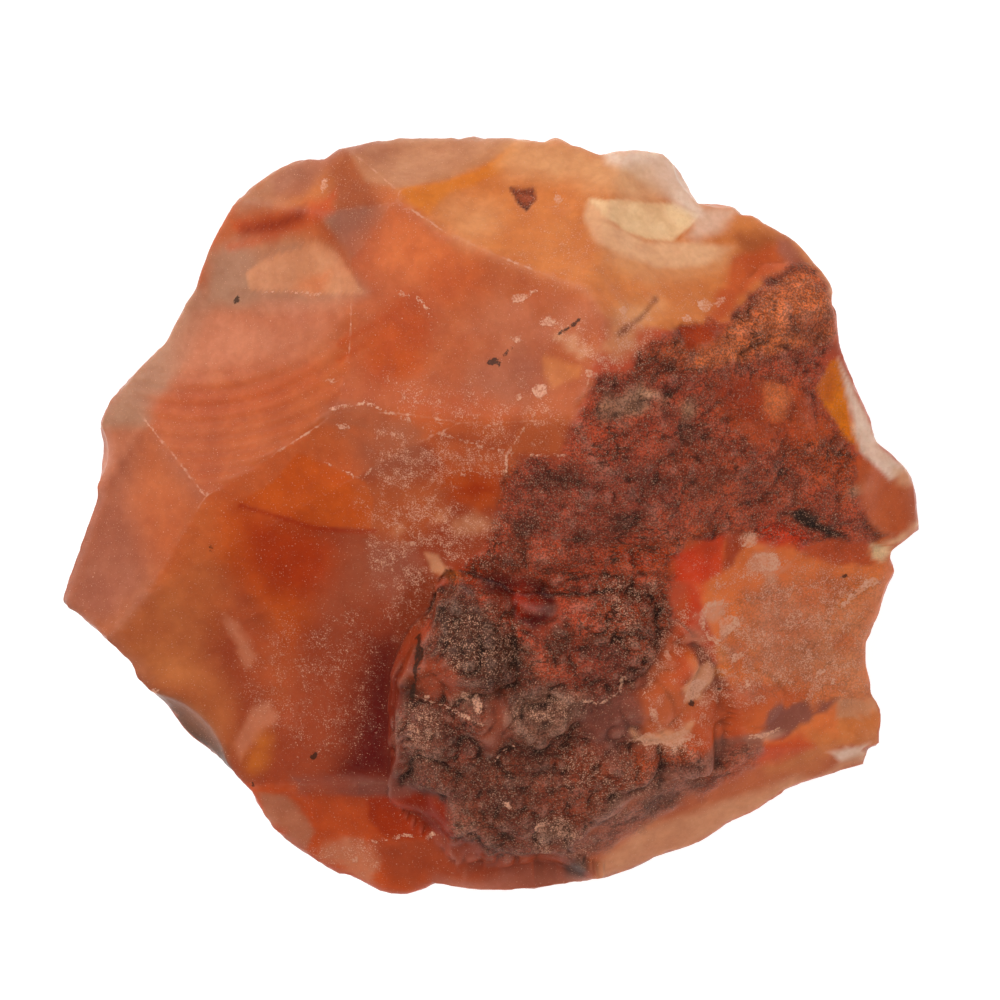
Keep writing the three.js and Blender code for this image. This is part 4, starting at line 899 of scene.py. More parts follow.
class Skin:
    """All the faces of the stone, and the distance to the nearest one along a ray."""

    def __init__(self, wear):
        self.wear = wear
        self.top = [ball_through(*row) for row in TOP_SCARS]
        self.lump = [ball_through(*row) for row in LUMP_FACES]
        self.edges = [ball_through(*row) for row in EDGE_SCARS]
        self.under = [ball_under(*row) for row in UNDER_SCARS]
        self.under.append(("flat", np.array([0.0, 0.0, -1.0]), CORE[2]))
        self.chips = [self.chip(*row) for row in CHIPS + SMALL_CHIPS]

    def broken_top(self, rays):
        """The farther of the broken body and the dark lump, then cut by the edge scars. Gives the
        distance, the number of each ray's face, and all three sets of distances."""
        body_rays, lump_rays = wandering(rays, *BODY_WANDER), wandering(rays, *LUMP_WANDER)
        body = np.stack([reach(body_rays, face) for face in self.top])
        lump = np.stack([reach(lump_rays, face) for face in self.lump])
        near_body, near_lump = soft_least(body, self.wear), soft_least(lump, self.wear)
        both = np.maximum(near_body, near_lump)
        edges = np.stack([both] + [reach(rays, face) for face in self.edges])
        stands_proud = near_lump > near_body + PROUD
        tone = np.where(stands_proud, len(self.top) + lump.argmin(axis=0), body.argmin(axis=0))
        cut = edges.argmin(axis=0)
        tone = np.where(cut > 0, len(self.top) + len(self.lump) + cut - 1, tone)
        return soft_least(edges, self.wear), tone, (body, lump, edges)

    def wall(self, rays):
        """The outline's wall, nibbled by small waves."""
        level = np.maximum(np.hypot(rays[..., 0], rays[..., 1]), TINY)
        distance = outline_radius(np.arctan2(rays[..., 1], rays[..., 0])) / level
        places = CORE + rays * distance[..., None]
        return distance + wave(places, "wall") + wave(places, "fine wall")

    def chip(self, x, y, z, radius, depth):
        """A ball pressed squarely into the skin. Three close rays give the skin's direction, and a
        ball of radius r²/2d is r mm wide at a depth of d."""
        axis = unit(np.array([x, y, z]) - CORE)
        side = unit(np.cross(axis, SIDEWAYS))
        rays = unit(np.array([axis, axis + CLOSE * side, axis + CLOSE * np.cross(axis, side)]))
        distance = np.minimum(self.broken_top(rays)[0], self.wall(rays))
        p, q, r = rays * distance[:, None]
        normal = unit(np.cross(q - p, r - p))
        normal *= np.sign(normal @ axis)
        ball = radius * radius / (2 * depth)
        return ("ball", p + normal * (ball - depth), ball)

    def base(self, rays):
        """The skin before its small relief: distance, number of the face, which of top, wall and
        underside it is, and the distances to all the faces."""
        top, tone, stacks = self.broken_top(rays)
        places = CORE + WANDER_REACH * rays
        shaken = 1 + wave(places, "knob edge") + wave(places, "fine knob edge")
        for x, y, z, radius, height in KNOBS:
            off, same_side = across(rays, (x, y, z), top)
            rise = height * (1 - np.minimum(shaken * off / radius, 1) ** 2) ** KNOB_CURVE
            top = top + np.where(same_side, rise, 0)
        chips = np.stack([reach(rays, face) for face in self.chips]).min(axis=0)
        under = np.stack([reach(rays, face) for face in self.under])
        nearest_under = soft_least(under, 2 * self.wear)
        faces = np.stack([np.minimum(top, chips), self.wall(rays), nearest_under])
        return soft_least(faces, self.wear), tone, faces.argmin(axis=0), stacks + (under,)


# -------------------- areas, spots and lines in plan

def corners_distance(x, y, corners, closed):
    """Distance in mm from each point to a line through the corners. Round a closed line it is more
    than 0 inside, where a ray to the left crosses the line an odd number of times."""
    nearest = np.full(x.shape, NEVER)
    odd = np.zeros(x.shape, bool)
    ends = list(corners[1:]) + ([corners[0]] if closed else [])
    for (ax, ay), (bx, by) in zip(corners, ends):
        ex, ey = bx - ax, by - ay
        part = np.clip(((x - ax) * ex + (y - ay) * ey) / (ex * ex + ey * ey), 0, 1)
        nearest = np.minimum(nearest, np.hypot(x - ax - part * ex, y - ay - part * ey))
        if closed and ey:
            odd ^= ((ay > y) != (by > y)) & (x < ax + (y - ay) * ex / ey)
    return np.where(odd, nearest, -nearest) if closed else nearest


def inside(row, x, y, far):
    """How many mm each point lies inside the edge of a row's marks. It is less than 0 outside them, and
    is not followed beyond `far`."""
    kind, marks = row[0], row[5]
    deepest = np.full(x.shape, -far)
    for mark in (marks if kind == "spots" else [marks]):
        ends = np.array([mark[:2]] if kind == "spots" else mark)
        margin = far + (max(mark[2:4]) if kind == "spots" else row[6] / 2 if kind == "line" else 0)
        low, high = ends.min(axis=0) - margin, ends.max(axis=0) + margin
        near = (x > low[0]) & (x < high[0]) & (y > low[1]) & (y < high[1])
        px, py = x[near], y[near]
        if kind == "area":
            within = corners_distance(px, py, mark, True)
        elif kind == "line":
            within = row[6] / 2 - corners_distance(px, py, mark, False)
        else:
            turn = np.radians(mark[4])
            dx, dy = px - mark[0], py - mark[1]
            u = (dx * np.cos(turn) + dy * np.sin(turn)) / mark[2]
            v = (dy * np.cos(turn) - dx * np.sin(turn)) / mark[3]
            within = (1 - np.hypot(u, v)) * min(mark[2:4])
        deepest[near] = np.maximum(deepest[near], within)
    return deepest


def cover(row, x, y, wander):
    """How much of a row of marks lies on each point, from 0 to 1: the distance inside them, shaken by
    random waves, goes through a smooth step as wide as the row's soft edge."""
    amount, soft, ragged = row[2:5]
    within = inside(row, x, y, soft / 2 + WANDER_MOST * ragged)
    return amount * smooth_step(-soft / 2, soft / 2, within + ragged * wander)


def laid(rows, start, x, y, wander):
    """An amount at each point: `start`, then each row's own amount laid over those before it."""
    amount = np.full(x.shape, start)
    for row in rows:
        share = cover(row, x, y, wander)
        amount = amount * (1 - share) + row[1] * share
    return amount


def flecks(rows, x, y, wander):
    """How many mm each point lies inside the nearest of several crisp marks, or less than 0 outside
    them, with ragged edges."""
    deepest = np.full(x.shape, -FLECK_EDGE)
    for row in rows:
        deepest = np.maximum(deepest, inside(row, x, y, FLECK_EDGE) + row[4] * wander)
    return deepest


def plain_light(tone):
    """A tone's red, green and blue as amounts of light: each is its share of 255 to the power 2.2, less
    the pale sheen that the stone's surface adds to it."""
    return np.maximum((np.array(TONES[tone]) / 255.0) ** SCREEN_CURVE - SHEEN, LEAST_LIGHT)


def blended(under, over, share):
    """One colour laid over another by a share from 0 to 1 at each point."""
    return under * (1 - share[:, None]) + over * share[:, None]


# -------------------- the stone's mesh

def sheet_rays(cells, upper):
    """Rays for one of the two square sheets that wrap the stone. The square is bent to a disc, u times
    sqrt(1 - v²/2) by v times sqrt(1 - u²/2), and the disc is spread over a dome or a bowl as wide as
    the outline, seen from the core. The lower sheet stops a little short of the rim."""
    steps = np.linspace(-1, 1, cells + 1)
    u, v = np.meshgrid(steps, steps)
    x, y = u * np.sqrt(1 - v * v / 2), v * np.sqrt(1 - u * u / 2)
    out = np.minimum(np.hypot(x, y), 1)
    angle = np.arctan2(y, x)
    if upper:
        height = RIM + (CROWN - RIM) * (1 - out * out) ** DOME_CURVE
    else:
        out = np.sin(LOWER_REACH * out * np.pi / 2) ** BOWL_CURVE
        height = RIM * (1 - np.sqrt(1 - out * out))
    wide = out * outline_radius(angle)
    return unit(np.stack([wide * np.cos(angle), wide * np.sin(angle), height - CORE[2]], axis=-1))


def sheet_bend(points):
    """How sharply the skin bends out at each grid point, from -1 in a crease to 1 on a ridge: the mean
    height of a point above its neighbours two cells away, over their distance."""
    padded = np.pad(points, ((2, 2), (2, 2), (0, 0)), mode="edge")
    normal = unit(np.cross(np.gradient(points, axis=1), np.gradient(points, axis=0)) + NUDGE)
    normal *= np.sign((normal * (points - CORE)).sum(axis=-1, keepdims=True))
    total = 0.0
    for row, column in ((0, 2), (4, 2), (2, 0), (2, 4)):
        other = padded[row:row + points.shape[0], column:column + points.shape[1]]
        apart = points - other
        distance = np.maximum(np.linalg.norm(apart, axis=-1), LEAST_APART)
        total = total + (normal * apart).sum(axis=-1) / distance
    return total / 4


def steepness(values, points):
    """How fast values on the grid change for each mm, by the steeper side of each point."""
    total = 0.0
    for axis in (0, 1):
        length = np.maximum(np.linalg.norm(np.diff(points, axis=axis), axis=-1), LEAST_EDGE)
        step = np.abs(np.diff(values, axis=axis)) / length
        before = np.pad(step, [(1 - axis, 0), (axis, 0)], mode="edge")
        after = np.pad(step, [(0, 1 - axis), (0, axis)], mode="edge")
        total = total + np.maximum(before, after) ** 2
    return np.sqrt(total)


def scar_ridge(stack, points):
    """Distance in mm from each point to the ridge between its two nearest scars, less than 0 on one
    side of it: the gap between the two, over how fast the gap grows."""
    order = np.argsort(stack, axis=0)[:2]
    first, second = np.take_along_axis(stack, order, axis=0)
    gap = second - first
    side = np.where(order[0] < order[1], 1, -1)
    return side * gap / np.maximum(steepness(gap, points), LEAST_SLOPE)


def ridge_distance(tone, below, stacks, points):
    """Distance in mm from each point to the nearest ridge, among the body's scars, the lump's faces,
    the edge scars or the underside's scars."""
    body, lump, edges, under = (scar_ridge(stack, points) for stack in stacks)
    ridge = np.where(on_lump(tone), lump, body)
    ridge = np.where(np.abs(edges) < np.abs(ridge), edges, ridge)
    return np.where(below == 2, under, ridge)


def ripples(x, y):
    """Distance in plan from the blow that made the scallop, and the ripples that spread from it, from
    -1 to 1: a sine of that distance."""
    from_blow = np.hypot(x - BLOW[0], y - BLOW[1])
    return from_blow, np.sin(2 * np.pi * (from_blow - RIPPLE_START) / RIPPLE_LENGTH)


def hollows(base, masks):
    """Lumps and pits of the rind and knobs of the dark lump, in mm: waves, and waves folded up at 0."""
    lumps = (wave(base, "rind swell") + np.abs(wave(base, "rind lumps")) + wave(base, "rind pits")
             - RIND_SUNK)
    knobs = np.abs(wave(base, "lump knobs")) + np.abs(wave(base, "fine lump knobs")) - KNOBS_SUNK
    return lumps * masks["rind"] + knobs * masks["lump"]


def relief(base, masks, settings):
    """Small relief in mm, added to the distance: ripples in the scallop, slow swells, the rind's lumps
    and pits, and nibbles that cut only where the skin bends out."""
    ripple = ripples(base[..., 0], base[..., 1])[1] * masks["ripple"]
    nibble = np.abs(wave(base, "nibble")) + np.abs(wave(base, "fine nibble"))
    return (settings.ripple_height / MM * ripple + wave(base, "swell") + wave(base, "fine swell")
            + settings.rind_relief * masks["hollow"]
            - settings.ridge_chips / MM * nibble * masks["ridge"])


def softened(values, passes):
    """Each grid point's mean with its four neighbours, over and over."""
    for _ in range(passes):
        padded = np.pad(values, ((1, 1), (1, 1), (0, 0)), mode="edge")
        around = padded[:-2, 1:-1] + padded[2:, 1:-1] + padded[1:-1, :-2] + padded[1:-1, 2:]
        values = (4 * values + around) / 8
    return values


def stone_masks(base, tone, below, ridge):
    """Where the small relief and the finishes lie, most of them from 0 to 1. Marks laid in plan drift
    to one side down the wall, so that they don't run down it as straight bands."""
    shape, height = base.shape[:2], base[..., 2]
    wander = (wave(base, "mark edge") + wave(base, "fine mark edge")).ravel()
    drift = 1 - smooth_step(*DRIFT_HEIGHTS, height)
    x = (base[..., 0] + drift * wave(base, "drift east")).ravel()
    y = (base[..., 1] + drift * wave(base, "drift north")).ravel()
    under = below == 2
    patch = smooth_step(*PATCH_EDGE, wave(base, "low rind") + wave(base, "fine low rind"))

    def spread(values, underneath):
        """Values for the top and the wall, with another for the underside."""
        return np.where(under, underneath, values.reshape(shape))

    masks = {
        "x": x, "y": y, "wander": wander, "patch": patch,
        "rind": spread(laid(RIND, 0.0, x, y, wander), LOW_RIND * patch),
        "dust": spread(laid(DUST, THIN_DUST, x, y, wander), LOW_DUST),
        "pale": spread(flecks(PALE, x, y, wander), -FLECK_EDGE),
        "dark": spread(flecks(DARK, x, y, wander), -FLECK_EDGE),
        "worn": spread(laid(WORN_AND_HIGHLIT_RIDGES, LITTLE_WEAR_AND_HIGHLIGHT, x, y, wander), LOW_WEAR_AND_HIGHLIGHT),
        "ridge_line": np.clip(ridge, -RIDGE_FAR, RIDGE_FAR),
        "lump": (on_lump(tone) & (below < 2)).astype(float),
        "ridge": smooth_step(*NIBBLED_BEND, sheet_bend(base)),
        "ripple": (tone == SCALLOP) & (below == 0),
    }
    masks["worn"] = masks["worn"] * (1 - smooth_step(*WORN_WIDTH, np.abs(ridge)))
    masks["ripple"] = masks["ripple"] * smooth_step(*RIPPLES_FROM, ripples(base[..., 0], base[..., 1])[0])
    low = 1 - smooth_step(*UNDER_HEIGHTS, height - UNDER_WANDER * wander.reshape(shape))
    masks["under"] = np.where(below == 0, 0, low)
    masks["hollow"] = hollows(base, masks)
    return masks


def under_colour(base, wander, patch):
    """The underside's colour: two tones in waves, and a third in patches of rind."""
    blend = smooth_step(-TONE_BLEND, TONE_BLEND, wave(base, "low tone").ravel() + WANDER_SHARE * wander)
    plain = blended(plain_light("rose"), plain_light("coral"), blend)
    return blended(plain, plain_light("maroon"), PATCH_TONE * patch)


def stone_colour(base, tone, masks, settings):
    """Each point's colour. The scar's own tone comes first, then every row of COLOURS in turn, then the
    underside's. Waves vary it. Painted shade darkens hollows and creases, and painted light lifts lumps
    and knobs. Ridges get a pale line, partly chipped wear and partly a painted highlight, and the thin
    rim gets painted light shining through it."""
    names = TOP_TONES + LUMP_TONES + EDGE_TONES
    colour = np.array([plain_light(name) for name in names])[tone]
    on_edge = (tone >= len(TOP_TONES + LUMP_TONES))[..., None]
    colour = np.where(on_edge, softened(colour, EDGE_PASSES), softened(colour, SCAR_PASSES))
    colour = colour.reshape(-1, 3)
    x, y, wander = masks["x"], masks["y"], masks["wander"]
    rind, hollow, patch, low = (masks[name].ravel() for name in ("rind", "hollow", "patch", "under"))
    for row in COLOURS:
        colour = blended(colour, plain_light(row[1]), cover(row, x, y, wander))
    ripple = ripples(x, y)[1] * masks["ripple"].ravel()
    colour = colour * (1 + ripple[:, None] * RIPPLE_TINT)
    colour = blended(colour, under_colour(base, wander, patch), low)

    broad = (wave(base, "broad tone") + wave(base, "middle tone")).ravel()
    broad = broad + wave(base, "fine tone").ravel() * (FINE_ON_STONE + FINE_ON_RIND * rind)
    # Painted shade in the rind's hollows and the lump's crevices, painted light on its lumps and knobs.
    depth = np.clip(1 + HOLLOW_SHADE * hollow, *HOLLOW_LIMITS)
    colour = colour * ((1 + broad) * depth)[:, None]
    # Pale ridges, partly chipped wear and partly a painted highlight, and painted light shining through
    # the thin rim.
    to_rim = outline_radius(np.arctan2(y, x)) - np.hypot(x, y)
    thin = 1 - smooth_step(0.0, RIM_WIDTH, to_rim + RIM_WANDER * wander)
    pale = (settings.ridge_highlight_and_chipping * (1 + RIND_RIDGE_HIGHLIGHT * rind) * masks["ridge"].ravel()
            + settings.painted_rim_light * thin)
    colour = blended(colour, plain_light("pale pink"), pale)
    # Painted shade in creases, stronger on the rind.
    dark = masks["crease"].ravel() * (CREASE_SHADE_ON_STONE + CREASE_SHADE_ON_RIND * rind)
    return colour * (1 - dark)[:, None]


def grid_faces(numbers, flip):
    """Four-sided faces of a grid of point numbers, turned to face the other way if asked."""
    corners = [numbers[:-1, :-1], numbers[:-1, 1:], numbers[1:, 1:], numbers[1:, :-1]]
    if flip:
        corners.reverse()
    return np.stack(corners, axis=-1).reshape(-1, 4)


def border(numbers):
    """The grid's border point numbers, once round."""
    return np.concatenate([numbers[0, :-1], numbers[:-1, -1], numbers[-1, :0:-1], numbers[:0:-1, 0]])


def seam_faces(fine, coarse):
    """Triangles between the upper sheet's border and the lower's, which has half as many points: three
    to each of the coarse border's steps."""
    first, middle, last = fine[0::2], fine[1::2], np.roll(fine[0::2], -1)
    near, far = coarse, np.roll(coarse, -1)
    return np.vstack([np.column_stack(corners) for corners in (
        (first, near, middle), (middle, near, far), (middle, far, last))])


def build_sheet(skin, cells, upper, settings):
    """One sheet's points, colours and finish layers, one row for each grid point."""
    rays = sheet_rays(cells, upper)
    distance, tone, below, stacks = skin.base(rays)
    base = CORE + rays * distance[..., None]
    masks = stone_masks(base, tone, below, ridge_distance(tone, below, stacks, base))
    points = CORE + rays * (distance + relief(base, masks, settings))[..., None]
    points[..., 2] = np.maximum(points[..., 2], 0)
    bend = sheet_bend(points)
    # From how the finished skin bends: a pale line on ridges, partly chipped wear and partly a painted
    # highlight, and painted shade in creases.
    masks["ridge"], masks["crease"] = smooth_step(*PALE_BEND, bend), smooth_step(*DARK_BEND, -bend)
    colour = stone_colour(base, tone, masks, settings).reshape(base.shape)
    values = [points, colour] + [masks[name][..., None] for name in LAYERS]
    return np.concatenate(values, axis=-1).reshape(-1, 6 + len(LAYERS))


def build_stone(settings):
    """Both sheets and the seam between them, put into one mesh with its colours and layers."""
    skin = Skin(settings.ridge_wear / MM)
    upper = build_sheet(skin, CELLS, True, settings)
    lower = build_sheet(skin, CELLS // 2, False, settings)
    values = np.vstack([upper, lower])
    top = np.arange(len(upper)).reshape(CELLS + 1, -1)
    bottom = len(upper) + np.arange(len(lower)).reshape(CELLS // 2 + 1, -1)
    faces = grid_faces(top, False).tolist() + grid_faces(bottom, True).tolist()
    faces += seam_faces(border(top), border(bottom)).tolist()

    mesh = bpy.data.meshes.new("carnelian_stone")
    mesh.from_pydata((values[:, :3] * MM).tolist(), [], faces)
    tint = mesh.color_attributes.new("stone_tint", "FLOAT_COLOR", "POINT")
    tint.data.foreach_set("color", np.column_stack([values[:, 3:6], np.ones(len(values))]).ravel())
    for number, name in enumerate(LAYERS):
        layer = mesh.attributes.new(name, "FLOAT", "POINT")
        layer.data.foreach_set("value", values[:, 6 + number])
    mesh.polygons.foreach_set("use_smooth", np.ones(len(faces), bool))
    mesh.update()
    return mesh


# -------------------- the finishes

class Graph:
    """A material's nodes. Each method adds one node and gives its result, and takes sockets or plain
    values."""

    def __init__(self, name):
        self.material = bpy.data.materials.new(name)
        self.material.use_nodes = True
        self.tree = self.material.node_tree
        self.tree.nodes.clear()

    def feed(self, socket, value):
        """Links a socket to another's result, or sets its own value."""
        if isinstance(value, bpy.types.NodeSocket):
            self.tree.links.new(value, socket)
        else:
            socket.default_value = value

    def node(self, kind, inputs=None, **settings):
        """A node with its settings, and with each input that is named or numbered."""
        node = self.tree.nodes.new(kind)
        for name, value in settings.items():
            setattr(node, name, value)
        for name, value in (inputs or {}).items():
            self.feed(node.inputs[name], value)
        return node

    def layer(self, name, output="Fac"):
        """A colour or layer that the mesh carries."""
        return self.node("ShaderNodeAttribute", attribute_name=name).outputs[output]

    def noise(self, name, place):
        """One of the named noises, on the object's own coordinates."""
        per_metre, detail, roughness = NOISES[name]
        return self.node("ShaderNodeTexNoise", {
            "Scale": per_metre, "Detail": detail, "Roughness": roughness, "Vector": place,
        }).outputs["Fac"]

    def ranged(self, value, low, high, to_low, to_high):
        """Carries the range low to high onto another, smoothly, and holds it at the ends."""
        return self.node("ShaderNodeMapRange", {
            "Value": value, "From Min": low, "From Max": high, "To Min": to_low, "To Max": to_high,
        }, interpolation_type="SMOOTHSTEP").outputs["Result"]

    def read(self, value, name):
        """A value as one of the named readings takes it."""
        return self.ranged(value, *READINGS[name])

    def maths(self, operation, first, second=0.0):
        """One calculation, on one number or two."""
        return self.node("ShaderNodeMath", {0: first, 1: second}, operation=operation).outputs[0]

    def times(self, first, *others):
        """Two or more numbers multiplied, from the left."""
        for other in others:
            first = self.maths("MULTIPLY", first, other)
        return first

    def plus(self, first, *others):
        """Two or more numbers added, from the left."""
        for other in others:
            first = self.maths("ADD", first, other)
        return first

    def tinted(self, share, under, over, blend="MIX"):
        """Lays one colour over another by a share from 0 to 1."""
        return self.node("ShaderNodeMix", {0: share, 6: under, 7: over},
                         data_type="RGBA", blend_type=blend).outputs[2]


def rind_over(graph, shade, place, noises, layer, settings):
    """The rind's dark blotches, veins and pits, and its pale grains, thick here and thin there."""
    grit, soot, grain, clumps, cloud = noises
    pit, rind = opaque(settings.pit_colour), layer["rind"]
    streaked = graph.node("ShaderNodeMapping", {"Vector": place, **STREAKS}).outputs[0]
    blotch = graph.read(graph.noise("blotch", streaked), "blotches")
    shade = graph.tinted(graph.times(blotch, rind), shade, BLOTCH_SHADE, "MULTIPLY")
    vein = graph.maths("ABSOLUTE", graph.maths("SUBTRACT", graph.noise("vein", streaked), MIDDLE))
    vein = graph.times(graph.read(vein, "vein width"), graph.read(cloud, "vein patches"), rind)
    shade = graph.tinted(vein, shade, pit)
    pits = graph.plus(soot, graph.times(clumps, CLUMPS_IN_PITS))
    pits = graph.times(rind, graph.ranged(pits, *PIT_LEVELS, 0, settings.rind_darkness))
    shade = graph.tinted(pits, shade, pit)
    sparkle = graph.plus(grit, graph.times(grain, GRAIN_IN_SPARKLE))
    sparkle = graph.times(rind, graph.ranged(sparkle, *SPARKLE_LEVELS, 0, settings.rind_sparkle))
    return graph.tinted(sparkle, shade, opaque(settings.grain_colour))


def dust_over(graph, shade, noises, layer, settings):
    """Cream dust, with more grains where it lies thicker, and pale lines along ridges, partly chipped wear
    and partly a painted highlight, now wider and now broken off."""
    grit, _, grain, clumps, _ = noises
    dust = opaque(settings.dust_colour)
    thick = graph.times(layer["dust"], graph.read(clumps, "dust clumps"))
    specks = graph.plus(grit, graph.times(thick, DUST_IN_SPECKS))
    specks = graph.ranged(specks, *SPECK_LEVELS, 0, settings.dust_amount)
    specks = graph.times(specks, graph.read(grain, "dust grains"))
    veil = graph.times(thick, graph.read(grain, "dust veil"))
    shade = graph.tinted(graph.maths("MAXIMUM", specks, veil), shade, dust)

    # Pale ridge lines: partly chipped wear, partly a painted highlight.
    off_ridge = graph.maths("ABSOLUTE", layer["ridge_line"])
    wear = graph.maths("SUBTRACT", graph.read(grain, "ridge width"), off_ridge)
    wear = graph.times(graph.read(wear, "ridge edge"), graph.read(clumps, "ridge breaks"), layer["worn"])
    return graph.tinted(wear, shade, dust)


def stone_bump(graph, noises, layer, pale, settings):
    """The finest relief: grit on the rind and dust, clumps, grain, and pale chips that stand up."""
    grit, _, grain, clumps, _ = noises
    coarse = graph.plus(*(graph.times(layer[name], BUMPS[name]) for name in ("rind", "dust")))
    rise = graph.times(graph.plus(graph.times(grit, BUMPS["grit"]), grain), coarse)
    rise = graph.plus(rise, graph.times(clumps, graph.read(layer["rind"], "clump height")),
                      graph.times(grain, BUMPS["grain"]), graph.times(pale, BUMPS["pale"]))
    return graph.node("ShaderNodeBump", {
        "Strength": 0.7, "Distance": settings.grain_height, "Height": rise,
    }).outputs["Normal"]


def opaque(colour):
    """A colour with no see-through part."""
    return (*[float(part) for part in colour], 1.0)


def stone_finish(settings):
    """Waxy, slightly see-through stone where it is broken; matt, gritty rind; mineral dust in grains."""
    graph = Graph("carnelian_stone_finish")
    place = graph.node("ShaderNodeTexCoord").outputs["Object"]
    layer = {name: graph.layer(name) for name in LAYERS}
    noises = [graph.noise(name, place) for name in ("grit", "soot", "grain", "clumps", "cloud")]
    grit, soot, grain, clumps, cloud = noises

    # The broken stone clouds a little, and so does the rind.
    shade = graph.layer("stone_tint", "Color")
    for noise, reading, darker in ((cloud, "clouding", CLOUD_SHADE), (clumps, "clouding", CLUMP_SHADE),
                                   (grain, "graining", GRAIN_SHADE)):
        shade = graph.tinted(graph.read(noise, reading), shade, darker, "MULTIPLY")
    shade = rind_over(graph, shade, place, noises, layer, settings)
    shade = dust_over(graph, shade, noises, layer, settings)

    # Pale chips and dark specks, with ragged edges.
    ragged = graph.plus(graph.times(grain, RAGGED_GRAIN), graph.times(grit, RAGGED_GRIT))
    pale = graph.read(graph.plus(layer["pale"], ragged), "fleck edge")
    crust = graph.times(pale, graph.read(soot, "crust grains"), graph.read(clumps, "crust clumps"))
    shade = graph.tinted(crust, shade, opaque(settings.dust_colour))
    dark = graph.read(graph.plus(layer["dark"], ragged), "fleck edge")
    shade = graph.tinted(dark, shade, opaque(settings.pit_colour))

    rough = graph.plus(graph.ranged(layer["rind"], 0, 1, settings.polish, RIND_ROUGHNESS),
                       graph.read(layer["dust"], "dust roughness"),
                       graph.read(grain, "grain roughness"))
    shader = graph.node("ShaderNodeBsdfPrincipled", {
        "Base Color": shade, "Roughness": rough,
        "Normal": stone_bump(graph, noises, layer, pale, settings),
        "IOR": 1.54, "Specular IOR Level": 0.12, "Subsurface Weight": settings.glow,
        "Subsurface Radius": (1.0, 0.35, 0.15), "Subsurface Scale": 0.0006,
    })
    graph.node("ShaderNodeOutputMaterial", {"Surface": shader.outputs[0]})
    return graph.material


def floor_finish():
    """Pale and matt, with a glow that lifts it to white."""
    graph = Graph("pale_floor")
    shader = graph.node("ShaderNodeBsdfPrincipled", {
        "Base Color": (0.5, 0.5, 0.5, 1), "Roughness": 0.9, "Specular IOR Level": 0.1,
        "Emission Color": (1, 1, 1, 1), "Emission Strength": 0.81,
    })
    graph.node("ShaderNodeOutputMaterial", {"Surface": shader.outputs[0]})
    return graph.material


# -------------------- settings

def number_setting(name, description, default, most, least=0.0, **kind):
    """A setting that is a number."""
    return bpy.props.FloatProperty(name=name, description=description, default=default,
                                   min=least, max=most, **kind)


def amount_setting(name, description, default, most=1.0, least=0.0):
    """A setting that is a plain amount."""
    return number_setting(name, description, default, most, least, subtype="FACTOR")


def length_setting(name, description, default, most, least=0.0):
    """A setting that is a length, given here in mm."""
    return number_setting(name, description, default * MM, most * MM, least * MM,
                         precision=5, unit="LENGTH")


def colour_setting(name, description, tone):
    """A setting that is a colour, which starts as one of the named tones."""
    return bpy.props.FloatVectorProperty(name=name, description=description, size=3, min=0, max=1,
                                         default=tuple(plain_light(tone)), subtype="COLOR")


class StoneSettings(bpy.types.PropertyGroup):
    """The stone's relief and finish."""
    ridge_wear: length_setting("Ridge wear", "How far two scars blend where they meet", 0.1, 0.5, 0.02)
    ridge_chips: length_setting("Ridge chips", "Depth of the small chips along ridges and rim", 0.08, 0.5)
    ripple_height: length_setting("Ripple height", "Height of the ripples in the scallop", 0.035, 0.2)
    rind_relief: amount_setting("Rind relief", "Strength of the rind's lumps and pits", 1.0, most=2.0)
    # Pale chipped ridges: partly wear, partly a painted highlight.
    ridge_highlight_and_chipping: amount_setting("Ridge paleness", "How pale the chipped ridges are", 0.06)
    # Painted light shining through the thin rim.
    painted_rim_light: amount_setting("Rim paleness", "How pale the thin edge of the stone is", 0.03)
    rind_darkness: amount_setting("Rind darkness", "Strength of the rind's dark pits", 0.65)
    rind_sparkle: amount_setting("Rind sparkle", "Strength of the rind's pale grains", 0.6)
    dust_amount: amount_setting("Mineral dust", "Strength of the cream dust on broken faces", 0.8)
    # The dust colour also paints the pale ridge lines, partly chipped wear and partly a painted highlight.
    dust_colour: colour_setting("Dust colour", "Colour of the cream dust, chips and worn ridges", "chip")
    grain_colour: colour_setting("Grain colour", "Colour of the pale grains on the rind", "dusty")
    pit_colour: colour_setting("Pit colour", "Colour of the dark pits, veins and specks", "soot")
    polish: amount_setting("Roughness", "Roughness of the broken faces", 0.36, least=0.05)
    grain_height: length_setting("Grain height", "Height of the rind's finest grain", 0.12, 0.5)
    glow: amount_setting("Glow", "Share of the light that spreads inside the stone", 0.2)


# The stage, in metres: each light's place and width, and the point that the lights face.
KEY_LIGHT = ((-0.45, 0.4, 0.5), 0.6)
FILL_LIGHT = ((0.5, -0.3, 0.55), 0.8)
LIT_POINT = (0, 0, 0.01)
SENSOR = 36                   # width of the camera's sensor in mm


class StageSettings(bpy.types.PropertyGroup):
    """The floor, the lights and the camera."""
    floor_width: number_setting("Floor width", "Side of the square floor", 3.0, 10, 0.3, unit="LENGTH")
    key_power: number_setting("Key light", "Power of the soft light on the upper left, in watts", 3.8, 100)
    fill_power: number_setting("Fill light", "Power of the soft light on the right, in watts", 1.4, 100)
    sky: number_setting("Sky", "Strength of the even light from all round", 0.42, 5)
    camera_height: number_setting(
        "Camera height", "Height of the camera above the floor", 0.8, 3, 0.2, unit="LENGTH")
    view_width: number_setting(
        "View width", "Width of the view at the height of the stone's rim", 66.7 * MM, 0.5, 0.02,
        precision=4, unit="LENGTH")


# -------------------- operators

class CARNELIAN_OT_stone(bpy.types.Operator):
    """Build the stone and its finish"""
    bl_idname = "carnelian.stone"
    bl_label = "Build stone"

    def execute(self, context):
        settings = context.scene.carnelian_stone
        stone = bpy.data.objects.new("rough_carnelian_stone", build_stone(settings))
        context.scene.collection.objects.link(stone)
        stone.data.materials.append(stone_finish(settings))
        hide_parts(NODE)
        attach(stone, "root")
        return {"FINISHED"}


